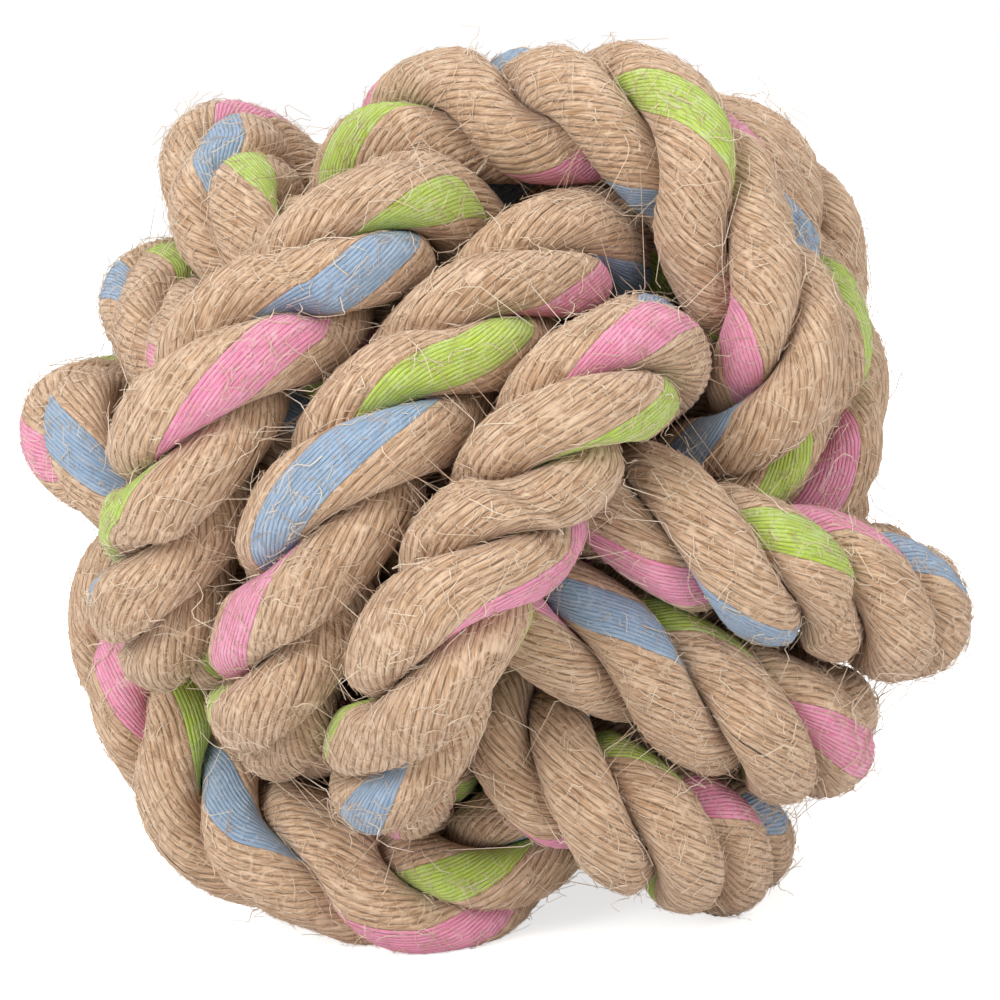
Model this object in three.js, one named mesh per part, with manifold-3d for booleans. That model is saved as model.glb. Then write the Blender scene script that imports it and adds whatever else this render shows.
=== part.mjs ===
// Rope ball for a dog: a monkey's fist tied from one length of three-strand hemp rope.
// Three bands of three loops lock into each other, and both whipped rope ends are tucked into the
// core. The strands are laid right-handed, and each has one bundle of dyed yarn that names it.

import * as THREE from "three";
import { mergeVertices } from "three/addons/utils/BufferGeometryUtils.js";
import Module from "manifold-3d";

// Driving dimensions, in millimetres
const ropeDiameter = 13.5;
const layLength = 33; // rope length in which a strand goes once round
const passClearance = 1; // aimed at between neighbouring passes of the rope
const strandClearance = 0.8; // between the three strands of the rope
const whippingWidth = 8;
const whippingThickness = 1.1;
const whippingClearance = 0.3; // between the rope and the whipping on it

// The ball stands on the lowest tenth of its rope, pressed flat
const restFlatShare = 0.1;
const restCut = restFlatShare * ropeDiameter;

// Counts
const stepsPerLay = 8;
const whippingSides = 16;
const settleRounds = 400;
const roundingRounds = 6;
const gapStepsPerStation = 4; // where gaps are measured
const stationStep = layLength / stepsPerLay;

// The knot, in shares of the pitch between neighbouring passes
const pitch = ropeDiameter + passClearance;
const innerReachShare = 1.78; // from the centre to a pass that is buried under the next band
const outerReachShare = 2.6; // from the centre to a pass on the outside
const outerPitchShare = 1.02; // passes side by side on the outside
const innerPitchShare = 0.87; // the same passes where they are buried
const domeShare = 0.1; // how much smaller the two side loops of a band are
const squeezeShare = 0.12; // how much thinner the rope is where it is buried
const roundnessShare = 0.77; // 1 is a round loop, less is squarer
const routeStepDegrees = 6;

const passDegrees = 180; // of a band's turn, from one outer pass to the next

// Degrees of a band's turn over which the rope moves on from one loop to the next
const loopChangeDegrees = [
  [315, 405],
  [675, 765],
];

// Each band goes out along one axis, passes over a face of the fist along the second, and moves on
// from loop to loop along the third. Its first and last degrees are where its neighbours take over.
const bands = [
  { out: [1, 0, 0], heading: [0, 0, 1], side: [0, 1, 0], degrees: [15, 985] },
  { out: [0, 0, -1], heading: [0, -1, 0], side: [1, 0, 0], degrees: [108, 1075] },
  { out: [0, -1, 0], heading: [1, 0, 0], side: [0, 0, -1], degrees: [30, 1070] },
];

// How single outer passes lie off their even places, in shares of the pitch: shifted sideways,
// tilted by so much at each end of the pass, and lifted outwards. A band's passes count from 0.
const passPlaceShares = [
  { band: 0, pass: 4, shift: -0.1, tilt: 0, lift: 0 },
  { band: 1, pass: 1, shift: 0, tilt: 0, lift: 0.35 },
  { band: 1, pass: 3, shift: 0, tilt: 0, lift: 0.3 },
  { band: 1, pass: 4, shift: 0, tilt: 0, lift: 0.25 },
  { band: 1, pass: 5, shift: 0, tilt: 0, lift: 0.1 },
  { band: 2, pass: 0, shift: 0, tilt: 0, lift: 0.1 },
  { band: 2, pass: 1, shift: 0, tilt: -0.1, lift: 0 },
  { band: 2, pass: 2, shift: 0, tilt: 0, lift: 0.2 },
  { band: 2, pass: 3, shift: 0, tilt: 0, lift: 0.35 },
  { band: 2, pass: 5, shift: 0.1, tilt: -0.2, lift: 0.7 },
];

// How the rope is twisted on those passes that show it, in shares of a full turn: where the pink
// strand lies at the middle of the pass, and how far the lay is wrung before and after it
const passTwistShares = [
  { band: 0, pass: 0, turn: 0.97, before: 0.04, after: -0.05 },
  { band: 0, pass: 2, turn: 0.24, before: -0.13, after: 0 },
  { band: 0, pass: 4, turn: 0.94, before: -0.17, after: 0.2 },
  { band: 1, pass: 1, turn: 0.78, before: 0, after: -0.2 },
  { band: 1, pass: 3, turn: 0.24, before: -0.25, after: -0.25 },
  { band: 1, pass: 4, turn: 0.55, before: -0.09, after: 0 },
  { band: 1, pass: 5, turn: 0.6, before: 0, after: -0.13 },
  { band: 2, pass: 0, turn: 0.88, before: -0.1, after: -0.04 },
  { band: 2, pass: 1, turn: 0.3, before: 0.15, after: 0.1 },
  { band: 2, pass: 2, turn: 0.2, before: 0, after: -0.2 },
  { band: 2, pass: 3, turn: 0.11, before: 0, after: -0.25 },
  { band: 2, pass: 4, turn: 0.2, before: 0, after: 0.2 },
  { band: 2, pass: 5, turn: 0.09, before: 0.13, after: -0.05 },
];
const wrungShare = 1.45; // length to each side of a pass's middle that is wrung, of the pitch

// The stretches of the route that are no loops, in shares of the pitch
const startTailShares = [
  [0.45, 0.75, 0.65],
  [-0.1, 0.1, 0.75],
  [-0.45, -0.55, 0.2],
  [-0.35, -0.9, -0.75],
];
const overEdgeShares = [
  [-2.35, 0.95, -1.3],
  [-1.7, 0.5, -2.25],
];
const throughCoreShares = [
  [0.75, 1.25, -0.75],
  [0.1, 0.75, -0.85],
  [-0.65, 0.35, -0.3],
  [-1.2, -0.1, 0.45],
];
const endTailShares = [
  [-1.3, 0, -0.75],
  [-0.7, -0.65, -0.35],
  [0.1, -0.6, 0],
  [0.75, -0.1, 0.1],
];

// How the rope settles while the knot is drawn tight
const bendRadiusShare = 0.75; // tightest bend, as a share of the rope's diameter
const stiffnessShare = 0.3; // how far a tighter bend straightens in a round
const smoothingShare = 0.25; // how far any bend straightens in the first round
const anchorShare = 0.02; // how far the rope is drawn back to its route in the first round
const evennessShare = 0.5; // how far the stations slide along the rope to keep their distance
const pushShare = 0.6; // how far each of two passes that are too close gives way
const neighbourShare = 1.7; // rope length that doesn't push itself, as a share of the pitch

// Section of one strand across the rope: distance from the rope's axis as a share of its radius,
// and angle from the middle of the strand
const strandSectionShares = [
  { radius: 0.74, degrees: -50 },
  { radius: 1, degrees: -19 },
  { radius: 1, degrees: 19 },
  { radius: 0.74, degrees: 50 },
];

const strands = [
  { name: "strand_pink", color: 0xc9a08f },
  { name: "strand_blue", color: 0xaba092 },
  { name: "strand_green", color: 0xb5a273 },
];

const twineColor = 0xd8cdb4;

// How the knot is turned, in degrees, so that the ball stands on three of its passes
const standingTurn = { x: 4, y: 36, z: -116 };

const noBand = -1; // the number of a stretch between bands

const radians = THREE.MathUtils.degToRad;
const lerp = THREE.MathUtils.lerp;
const mapLinear = THREE.MathUtils.mapLinear;
const smoothstep = THREE.MathUtils.smoothstep;

const wasm = await Module();
wasm.setup();

function signedPower(value, power) {
  return Math.sign(value) * Math.abs(value) ** power;
}

function shareOfPitch(shares) {
  return new THREE.Vector3(...shares).multiplyScalar(pitch);
}

// A point of a band's loops: 0 degrees is the middle of the buried pass before its first outer pass,
// which is at 90, and each outer pass is half a turn after the last
function loopPoint(bandIndex, degrees) {
  const band = bands[bandIndex];
  const angle = radians(degrees);
  const exposed = Math.sin(angle) ** 2;
  const pass = Math.floor(degrees / passDegrees);
  const place = passPlaceShares.find((row) => row.band === bandIndex && row.pass === pass);
  const { shift, tilt, lift } = place ?? { shift: 0, tilt: 0, lift: 0 };
  const changes = loopChangeDegrees.map(([from, to]) => smoothstep(degrees, from, to));
  const loop = changes[0] + changes[1] - 1;
  const size = 1 - domeShare * loop * loop;
  const across = -signedPower(Math.cos(angle), roundnessShare);
  const outward = (outerReachShare * size + lift) * signedPower(Math.sin(angle), roundnessShare);
  const along = innerReachShare * size * across;
  const evenPlace = loop * lerp(innerPitchShare, outerPitchShare, exposed);
  const sideways = evenPlace + (shift + tilt * across) * exposed;
  const position = new THREE.Vector3()
    .addScaledVector(new THREE.Vector3(...band.out), outward * pitch)
    .addScaledVector(new THREE.Vector3(...band.heading), along * pitch)
    .addScaledVector(new THREE.Vector3(...band.side), sideways * pitch);
  return { position, buried: 1 - exposed, band: bandIndex, degrees };
}

function bandPoints(bandIndex) {
  const [from, to] = bands[bandIndex].degrees;
  const count = Math.round((to - from) / routeStepDegrees);
  const points = [];
  for (let i = 0; i <= count; i += 1) {
    points.push(loopPoint(bandIndex, lerp(from, to, i / count)));
  }
  return points;
}

function stretchPoints(shares, buried) {
  return shares.map((share) => ({
    position: shareOfPitch(share),
    buried,
    band: noBand,
    degrees: 0,
  }));
}

// The whole route from one tucked end to the other
function routePoints() {
  return [
    ...stretchPoints(startTailShares, 1),
    ...bandPoints(0),
    ...stretchPoints(overEdgeShares, 0),
    ...bandPoints(1),
    ...stretchPoints(throughCoreShares, 1),
    ...bandPoints(2),
    ...stretchPoints(endTailShares, 1),
  ];
}

function runningLengths(points) {
  const lengths = [0];
  for (let i = 1; i < points.length; i += 1) {
    lengths.push(lengths[i - 1] + points[i].position.distanceTo(points[i - 1].position));
  }
  return lengths;
}

// Stations at even distances along the route
function evenStations(points, step) {
  const lengths = runningLengths(points);
  const total = lengths.at(-1);
  const count = Math.round(total / step);
  const stations = [];
  let k = 0;
  for (let i = 0; i <= count; i += 1) {
    const wanted = (total * i) / count;
    while (k < points.length - 2 && lengths[k + 1] < wanted) {
      k += 1;
    }
    const share = (wanted - lengths[k]) / (lengths[k + 1] - lengths[k]);
    const before = points[k];
    const after = points[k + 1];
    stations.push({
      position: before.position.clone().lerp(after.position, share),
      buried: lerp(before.buried, after.buried, share),
      band: before.band === after.band ? before.band : noBand,
      degrees: lerp(before.degrees, after.degrees, share),
    });
  }
  return stations;
}

// Takes the corners off the route where its stretches meet
function roundCorners(stations) {
  const old = stations.map((station) => station.position.clone());
  for (let i = 1; i < stations.length - 1; i += 1) {
    const middle = old[i - 1].clone().add(old[i + 1]).multiplyScalar(0.5);
    stations[i].position.lerpVectors(old[i], middle, 0.5);
  }
}

// Half of the distance that the rope keeps from itself at each station. Its ends keep room for their
// whippings, over one station more than these need, as the rope shortens when it is drawn tight.
function addRadii(stations) {
  const whipped = Math.ceil(whippingWidth / stationStep) + 2;
  stations.forEach((station, i) => {
    const fromEnd = Math.min(i, stations.length - 1 - i);
    station.radius = (ropeDiameter / 2) * (1 - squeezeShare * station.buried);
    station.reach = station.radius;
    if (fromEnd < whipped) {
      station.reach += whippingClearance + whippingThickness;
    }
  });
}

// Straightens the bends and evens the distances between stations
function bendAndSlide(old, moved, fade) {
  const tightest = 1 / (bendRadiusShare * ropeDiameter);
  for (let i = 1; i < old.length - 1; i += 1) {
    const chord = old[i + 1].clone().sub(old[i - 1]);
    const length = chord.length();
    chord.divideScalar(length);
    const across = old[i - 1].clone().add(old[i + 1]).multiplyScalar(0.5).sub(old[i]);
    const along = chord.clone().multiplyScalar(across.dot(chord));
    across.sub(along);
    const curvature = (8 * across.length()) / (length * length);
    const share = curvature > tightest ? stiffnessShare : smoothingShare * fade;
    moved[i].addScaledVector(across, share).addScaledVector(along, evennessShare);
  }
}

// Pushes apart what lies closer than the rope allows
function pushApart(stations, moved) {
  const apart = Math.ceil((neighbourShare * pitch) / stationStep);
  const pushes = moved.map(() => new THREE.Vector3());
  const counts = new Array(moved.length).fill(0);
  const between = new THREE.Vector3();
  for (let i = 0; i < moved.length; i += 1) {
    for (let j = i + apart; j < moved.length; j += 1) {
      const wanted = stations[i].reach + stations[j].reach + passClearance;
      between.subVectors(moved[i], moved[j]);
      const squared = between.lengthSq();
      if (squared < wanted * wanted) {
        const distance = Math.sqrt(squared);
        between.multiplyScalar((wanted - distance) / distance);
        pushes[i].add(between);
        pushes[j].sub(between);
        counts[i] += 1;
        counts[j] += 1;
      }
    }
  }
  pushes.forEach((push, i) => {
    moved[i].addScaledVector(push, pushShare / Math.max(counts[i], 1));
  });
}

// Draws the knot tight: the rope straightens, stays near its route and makes room for itself
function settle(stations) {
  const home = stations.map((station) => station.position.clone());
  for (let round = 0; round < settleRounds; round += 1) {
    const fade = 1 - round / settleRounds;
    const old = stations.map((station) => station.position.clone());
    const moved = old.map((position) => position.clone());
    bendAndSlide(old, moved, fade);
    moved.forEach((position, i) => {
      position.addScaledVector(home[i].clone().sub(old[i]), anchorShare * fade);
    });
    pushApart(stations, moved);
    stations.forEach((station, i) => station.position.copy(moved[i]));
  }
}

// Tangent and two directions square to it at each station, carried along without twisting
function addFrames(stations) {
  let normal = new THREE.Vector3(0, 0, 1);
  stations.forEach((station, i) => {
    const before = stations[Math.max(i - 1, 0)].position;
    const after = stations[Math.min(i + 1, stations.length - 1)].position;
    station.tangent = after.clone().sub(before).normalize();
    station.normal = normal.clone().addScaledVector(station.tangent, -normal.dot(station.tangent));
    station.normal.normalize();
    station.binormal = station.tangent.clone().cross(station.normal);
    normal = station.normal;
  });
}

// The station at the middle of an outer pass of a band
function middleStation(stations, band, pass) {
  const middle = (pass + 0.5) * passDegrees;
  let nearest = null;
  stations.forEach((station, i) => {
    const off = Math.abs(station.degrees - middle);
    if (station.band === band && (nearest === null || off < nearest.off)) {
      nearest = { i, off };
    }
  });
  return nearest.i;
}

// The pink strand's angle at each station: the even lay, turned from pass to pass as the table says
function addLay(stations) {
  const lengths = runningLengths(stations);
  const marks = [];
  passTwistShares.forEach(({ band, pass, turn, before, after }) => {
    const i = middleStation(stations, band, pass);
    const { position, tangent, normal, binormal } = stations[i];
    const outward = position.clone().addScaledVector(tangent, -position.dot(tangent));
    const outwardAngle = Math.atan2(outward.dot(binormal), outward.dot(normal));
    const wanted = outwardAngle / (2 * Math.PI) + turn - lengths[i] / layLength;
    const last = marks.length > 0 ? marks.at(-1).turns : wanted;
    const turns = last + (wanted - last) - Math.round(wanted - last);
    const reach = wrungShare * pitch;
    marks.push({ length: lengths[i] - reach, turns: turns - before });
    marks.push({ length: lengths[i], turns });
    marks.push({ length: lengths[i] + reach, turns: turns + after });
  });
  stations.forEach((station, i) => {
    station.lay = 2 * Math.PI * (lengths[i] / layLength + turnsAt(marks, lengths[i]));
  });
}

// Turns between the marks along the rope
function turnsAt(marks, length) {
  const next = marks.findIndex((mark) => mark.length > length);
  if (next === 0) {
    return marks[0].turns;
  }
  if (next < 0) {
    return marks.at(-1).turns;
  }
  const before = marks[next - 1];
  const after = marks[next];
  return mapLinear(length, before.length, after.length, before.turns, after.turns);
}

function ropeStations() {
  const stations = evenStations(routePoints(), stationStep);
  for (let round = 0; round < roundingRounds; round += 1) {
    roundCorners(stations);
  }
  addRadii(stations);
  settle(stations);
  addFrames(stations);
  addLay(stations);
  return stations;
}

// A point beside the rope's axis at a station
function besideAxis(station, radius, angle) {
  return station.position
    .clone()
    .addScaledVector(station.normal, radius * Math.cos(angle))
    .addScaledVector(station.binormal, radius * Math.sin(angle));
}

// A closed skin over rings of as many points each, capped at both ends. The rings turn from one to
// the next: on the outside each quad is split along its short diagonal, which keeps the skin full,
// and on the two flanks at the inner corner along the other, which keeps them off their neighbours.
function skinOverRings(rings) {
  const sides = rings[0].length;
  const positions = rings.flat().flatMap((point) => point.toArray());
  const faces = [];
  for (let ring = 0; ring < rings.length - 1; ring += 1) {
    for (let side = 0; side < sides; side += 1) {
      const a = ring * sides + side;
      const b = ring * sides + ((side + 1) % sides);
      const flank = side === 0 || side === sides - 1;
      if (flank) {
        faces.push(a, b, b + sides, a, b + sides, a + sides);
      } else {
        faces.push(a, b, a + sides, b, b + sides, a + sides);
      }
    }
  }
  const last = (rings.length - 1) * sides;
  for (let side = 1; side < sides - 1; side += 1) {
    faces.push(0, side + 1, side, last, last + side, last + side + 1);
  }
  const geometry = new THREE.BufferGeometry();
  geometry.setAttribute("position", new THREE.Float32BufferAttribute(positions, 3));
  geometry.setIndex(faces);
  return geometry;
}

// One strand: its section turns round the rope's axis with the lay
function strandGeometry(stations, place) {
  const turn = (-2 * Math.PI * place) / strands.length;
  const innerRadius = strandClearance / 2 / Math.sin(Math.PI / strands.length);
  const rings = stations.map((station) => {
    const angle = station.lay + turn;
    const ring = [besideAxis(station, innerRadius, angle)];
    strandSectionShares.forEach(({ radius, degrees }) => {
      ring.push(besideAxis(station, radius * station.radius, angle + radians(degrees)));
    });
    return ring;
  });
  return skinOverRings(rings);
}

// A station at any length along the rope
function stationAt(stations, lengths, length) {
  const k = lengths.findIndex((next, i) => i > 0 && next >= length);
  const before = stations[k - 1];
  const after = stations[k];
  const share = (length - lengths[k - 1]) / (lengths[k] - lengths[k - 1]);
  return {
    position: before.position.clone().lerp(after.position, share),
    normal: before.normal.clone().lerp(after.normal, share),
    binormal: before.binormal.clone().lerp(after.binormal, share),
    radius: lerp(before.radius, after.radius, share),
  };
}

// One whipping: a band of twine round the rope between two lengths along it
function whippingGeometry(stations, from, to) {
  const lengths = runningLengths(stations);
  const between = lengths.filter((length) => length > from && length < to);
  const skins = [from, ...between, to].map((length) => {
    const station = stationAt(stations, lengths, length);
    const inner = (station.radius + whippingClearance) / Math.cos(Math.PI / whippingSides);
    return { inner, outer: inner + whippingThickness, station };
  });
  const sections = [];
  skins.forEach(({ outer, station }) => sections.push({ radius: outer, station }));
  skins.toReversed().forEach(({ inner, station }) => sections.push({ radius: inner, station }));
  const positions = [];
  const faces = [];
  sections.forEach(({ radius, station }, row) => {
    const next = (row + 1) % sections.length;
    for (let side = 0; side < whippingSides; side += 1) {
      const angle = (2 * Math.PI * side) / whippingSides;
      positions.push(...besideAxis(station, radius, angle).toArray());
      const a = row * whippingSides + side;
      const b = row * whippingSides + ((side + 1) % whippingSides);
      const c = next * whippingSides + ((side + 1) % whippingSides);
      const d = next * whippingSides + side;
      faces.push(a, b, c, a, c, d);
    }
  });
  const geometry = new THREE.BufferGeometry();
  geometry.setAttribute("position", new THREE.Float32BufferAttribute(positions, 3));
  geometry.setIndex(faces);
  return geometry;
}

function toSolid(geometry) {
  const merged = mergeVertices(geometry);
  return new wasm.Manifold(
    new wasm.Mesh({
      numProp: 3,
      vertProperties: new Float32Array(merged.attributes.position.array),
      triVerts: new Uint32Array(merged.index.array),
    }),
  );
}

function toGeometry(solid) {
  const mesh = solid.getMesh();
  const geometry = new THREE.BufferGeometry();
  geometry.setAttribute("position", new THREE.BufferAttribute(mesh.vertProperties, mesh.numProp));
  geometry.setIndex(new THREE.BufferAttribute(mesh.triVerts, 1));
  geometry.computeVertexNormals();
  return geometry;
}

// The box round a list of geometries
function boxRound(geometries) {
  const box = new THREE.Box3();
  geometries.forEach((geometry) => {
    geometry.computeBoundingBox();
    box.union(geometry.boundingBox);
  });
  return box;
}

// Stands the ball up: turns its pieces together, presses the lowest part flat and moves the middle
// of the base to the origin
function standUp(geometries) {
  const { x, y, z } = standingTurn;
  const turn = new THREE.Matrix4().makeRotationFromEuler(
    new THREE.Euler(radians(x), radians(y), radians(z)),
  );
  geometries.forEach((geometry) => geometry.applyMatrix4(turn));
  const floor = boxRound(geometries).min.z + restCut;
  const flattened = geometries.map((geometry) => {
    return toGeometry(toSolid(geometry).trimByPlane([0, 0, 1], floor));
  });
  const middle = boxRound(flattened).getCenter(new THREE.Vector3());
  flattened.forEach((geometry) => geometry.translate(-middle.x, -middle.y, -floor));
  return flattened;
}

// The least gap between passes of the rope, measured on finer points than the stations
function leastGap(stations) {
  const curve = new THREE.CatmullRomCurve3(stations.map((station) => station.position));
  const count = (stations.length - 1) * gapStepsPerStation;
  const apart = Math.ceil((neighbourShare * pitch) / stationStep) * gapStepsPerStation;
  const points = [];
  for (let i = 0; i <= count; i += 1) {
    const k = Math.min(Math.floor(i / gapStepsPerStation), stations.length - 2);
    const reach = lerp(stations[k].reach, stations[k + 1].reach, i / gapStepsPerStation - k);
    points.push({ position: curve.getPoint(i / count), reach });
  }
  let least = Infinity;
  for (let i = 0; i < points.length; i += 1) {
    for (let j = i + apart; j < points.length; j += 1) {
      const distance = points[i].position.distanceTo(points[j].position);
      least = Math.min(least, distance - points[i].reach - points[j].reach);
    }
  }
  return least;
}

// The least gap between any two of the pieces, up to the clearance between passes
function leastGapBetween(geometries) {
  const solids = geometries.map(toSolid);
  let least = passClearance;
  solids.forEach((solid, i) => {
    solids.slice(i + 1).forEach((other) => {
      least = Math.min(least, solid.minGap(other, passClearance));
    });
  });
  return least;
}

function material(color) {
  return new THREE.MeshStandardMaterial({ color, roughness: 0.95, metalness: 0 });
}

const stations = ropeStations();
const ropeLength = runningLengths(stations).at(-1);
const pieces = strands.map(({ name, color }, place) => ({
  name,
  color,
  geometry: strandGeometry(stations, place),
}));
pieces.push({
  name: "whipping_start",
  color: twineColor,
  geometry: whippingGeometry(stations, 0, whippingWidth),
});
pieces.push({
  name: "whipping_end",
  color: twineColor,
  geometry: whippingGeometry(stations, ropeLength - whippingWidth, ropeLength),
});

console.log("rope length", ropeLength.toFixed(0), "mm");
console.log("least gap of the rope to itself", leastGap(stations).toFixed(2), "mm");
const pieceGap = leastGapBetween(pieces.map((piece) => piece.geometry));
console.log("least gap between pieces", pieceGap.toFixed(2), "mm");

const ball = new THREE.Group();
standUp(pieces.map((piece) => piece.geometry)).forEach((geometry, i) => {
  const mesh = new THREE.Mesh(geometry, material(pieces[i].color));
  mesh.name = pieces[i].name;
  ball.add(mesh);
});

export default ball;
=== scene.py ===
"""Rope ball for a dog, dressed over its CAD frame.

The ball is a monkey's fist tied from one length of three-strand hemp rope. The rope's route is
worked out as the CAD source does it, and each strand is then skinned yarn by yarn along that route.
One bundle of yarns in each strand is dyed. Loose fibres lie on the strands, and the two rope ends in
the core are whipped with twine. Lengths are in metres.
"""

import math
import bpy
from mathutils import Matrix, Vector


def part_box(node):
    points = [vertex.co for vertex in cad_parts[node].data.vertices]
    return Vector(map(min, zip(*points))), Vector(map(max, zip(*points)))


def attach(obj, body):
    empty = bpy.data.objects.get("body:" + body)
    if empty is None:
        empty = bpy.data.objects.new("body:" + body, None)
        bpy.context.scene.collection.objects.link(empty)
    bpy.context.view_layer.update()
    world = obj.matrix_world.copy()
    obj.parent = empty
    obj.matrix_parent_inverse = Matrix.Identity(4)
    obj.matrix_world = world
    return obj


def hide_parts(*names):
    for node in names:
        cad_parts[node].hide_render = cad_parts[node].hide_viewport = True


bl_info = {
    "name": "Knotted rope ball",
    "version": (1, 0, 0),
    "blender": (4, 5, 0),
    "location": "View3D > Sidebar > Rope ball",
    "description": "Makes the strands, fibres and whippings of a rope ball over its CAD frame",
    "category": "Object",
}

from typing import NamedTuple

import bpy
import numpy as np
from bpy.props import FloatProperty, FloatVectorProperty, IntProperty, PointerProperty
from bpy.types import NodeSocket, Operator, Panel, PropertyGroup
from mathutils import Matrix, Vector

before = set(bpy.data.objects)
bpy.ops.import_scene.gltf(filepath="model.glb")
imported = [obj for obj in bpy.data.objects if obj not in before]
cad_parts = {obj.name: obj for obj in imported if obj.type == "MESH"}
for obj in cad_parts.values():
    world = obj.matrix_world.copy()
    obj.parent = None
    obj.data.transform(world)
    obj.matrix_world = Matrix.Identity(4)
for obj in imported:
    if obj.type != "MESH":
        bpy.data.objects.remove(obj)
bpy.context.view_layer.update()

MM = 0.001
BODY = "root"
PLAIN_PROPERTIES = {"rna_type", "name"}

STRANDS = ["strand_pink", "strand_blue", "strand_green"]

# The knot, in shares of the pitch between neighbouring passes
INNER_REACH_SHARE = 1.78
OUTER_REACH_SHARE = 2.6
OUTER_PITCH_SHARE = 1.02
INNER_PITCH_SHARE = 0.87
DOME_SHARE = 0.1
SQUEEZE_SHARE = 0.12
ROUNDNESS_SHARE = 0.77
ROUTE_STEP_DEGREES = 6
PASS_DEGREES = 180
LOOP_CHANGE_DEGREES = [(315, 405), (675, 765)]

# Each band's axes outwards, along its passes and across them, and its first and last degrees
BANDS = [
    {"out": (1, 0, 0), "heading": (0, 0, 1), "side": (0, 1, 0), "degrees": (15, 985)},
    {"out": (0, 0, -1), "heading": (0, -1, 0), "side": (1, 0, 0), "degrees": (108, 1075)},
    {"out": (0, -1, 0), "heading": (1, 0, 0), "side": (0, 0, -1), "degrees": (30, 1070)},
]

# Band and pass, then how far the pass lies off its even place: shifted, tilted and lifted
PASS_PLACE_SHARES = [
    (0, 4, -0.1, 0, 0),
    (1, 1, 0, 0, 0.35),
    (1, 3, 0, 0, 0.3),
    (1, 4, 0, 0, 0.25),
    (1, 5, 0, 0, 0.1),
    (2, 0, 0, 0, 0.1),
    (2, 1, 0, -0.1, 0),
    (2, 2, 0, 0, 0.2),
    (2, 3, 0, 0, 0.35),
    (2, 5, 0.1, -0.2, 0.7),
]

# Band and pass, then the turn of the pink strand at the pass's middle and how far the lay is wrung
# before and after it
PASS_TWIST_SHARES = [
    (0, 0, 0.97, 0.04, -0.05),
    (0, 2, 0.24, -0.13, 0),
    (0, 4, 0.94, -0.17, 0.2),
    (1, 1, 0.78, 0, -0.2),
    (1, 3, 0.24, -0.25, -0.25),
    (1, 4, 0.55, -0.09, 0),
    (1, 5, 0.6, 0, -0.13),
    (2, 0, 0.88, -0.1, -0.04),
    (2, 1, 0.3, 0.15, 0.1),
    (2, 2, 0.2, 0, -0.2),
    (2, 3, 0.11, 0, -0.25),
    (2, 4, 0.2, 0, 0.2),
    (2, 5, 0.09, 0.13, -0.05),
]
WRUNG_SHARE = 1.45

# Band and pass, the turns that the yarns make round their strand in one lay there, against the lay,
# and the shares of the section at which the dyed bundles lie at the pass's middle
PASS_BUNDLE_SHARES = [
    (0, 0, 1.5, 0.3, 0.88, 0.47),
    (0, 2, 1.4, 0.46, 0.12, 0.72),
    (0, 4, 1.4, 0.28, 0.82, 0.03),
    (1, 1, 2, 0.08, 0.05, 0.6),
    (1, 3, 1.8, 0, 0.66, 0.2),
    (1, 4, 1.6, 0.1, 0.12, 0.78),
    (1, 5, 2, 0.62, 0.35, 0.36),
    (2, 0, 1.6, 0.94, 0.66, 0.14),
    (2, 1, 1.9, 0.22, 0.8, 0.86),
    (2, 2, 1.7, 0, 0.4, 0.72),
    (2, 3, 1.6, 0.74, 0.42, 0.84),
    (2, 4, 1.8, 0.2, 0.6, 0.4),
    (2, 5, 2.2, 0.36, 0, 0.65),
]

START_TAIL_SHARES = [(0.45, 0.75, 0.65), (-0.1, 0.1, 0.75), (-0.45, -0.55, 0.2), (-0.35, -0.9, -0.75)]
OVER_EDGE_SHARES = [(-2.35, 0.95, -1.3), (-1.7, 0.5, -2.25)]
THROUGH_CORE_SHARES = [(0.75, 1.25, -0.75), (0.1, 0.75, -0.85), (-0.65, 0.35, -0.3), (-1.2, -0.1, 0.45)]
END_TAIL_SHARES = [(-1.3, 0, -0.75), (-0.7, -0.65, -0.35), (0.1, -0.6, 0), (0.75, -0.1, 0.1)]
NO_BAND = -1

# How the rope settles while the knot is drawn tight
STEPS_PER_LAY = 8
SETTLE_ROUNDS = 400
ROUNDING_ROUNDS = 6
BEND_RADIUS_SHARE = 0.75
STIFFNESS_SHARE = 0.3
SMOOTHING_SHARE = 0.25
ANCHOR_SHARE = 0.02
EVENNESS_SHARE = 0.5
PUSH_SHARE = 0.6
NEIGHBOUR_SHARE = 1.7

# How the ball stands
REST_FLAT_SHARE = 0.1
STANDING_TURN_DEGREES = (4, 36, -116)

# The CAD strand's section: distance from the rope's axis as a share of its radius, and angle
CAD_SECTION_SHARES = [(0.74, -50), (1, -19), (1, 19), (0.74, 50)]
CAD_FIT_MM = 0.2

# The visible strand's section, in shares of the rope's radius
BACK_ARC_SHARE = 0.78
CORNER_SHARE = 0.36
SECTION_STEP_DEGREES = 4
STRAND_CENTRE_SHARE = 0.55

# The skin of a strand, with noise in waves per metre and the edge of a yarn in yarn widths
POINTS_PER_YARN = 2
DYED_MIDDLE_SHARE = 0.5
EDGE_NUDGE = 0.01
EDGE_REACH = 0.1
UNEVEN_WAVES = 90
UNEVEN_GAIN = 4
GROOVE_WAVES = 160
GROOVE_SPAN = (0.35, 0.65)
GROOVE_DEPTH_SHARES = (0.25, 1.25)
DYED_GROOVE_LOSS_SHARE = 0.6
BACK_EDGE_SHARES = (0.45, 0.8)
CLOSING_GAP = 0.002 * MM

# The finish of a yarn. A pair of waves is about per yarn across it and per millimetre along it
YARN_WIDTH_MM = 0.9
SPIN_SLANT = 0.22
SPIN_WIDTH = 1.2
STREAK_WAVES = (3.2, 0.55)
HAIR_WAVES = (8, 0.7)
FLECK_WAVES = (4, 0.3)
TONE_WAVES = 0.09
BREAK_WAVES = 0.35
FLECK_START = 40
BREAK_START = 80
HAIR_PALENESS = 0.4
TONE_PALENESS = 0.3
# Painted shade in the low streaks of a yarn
STREAK_SHADE_SHARE = 0.5
# Painted shade in the groove between two yarns
GROOVE_SHADE_SHARE = 0.92

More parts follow.
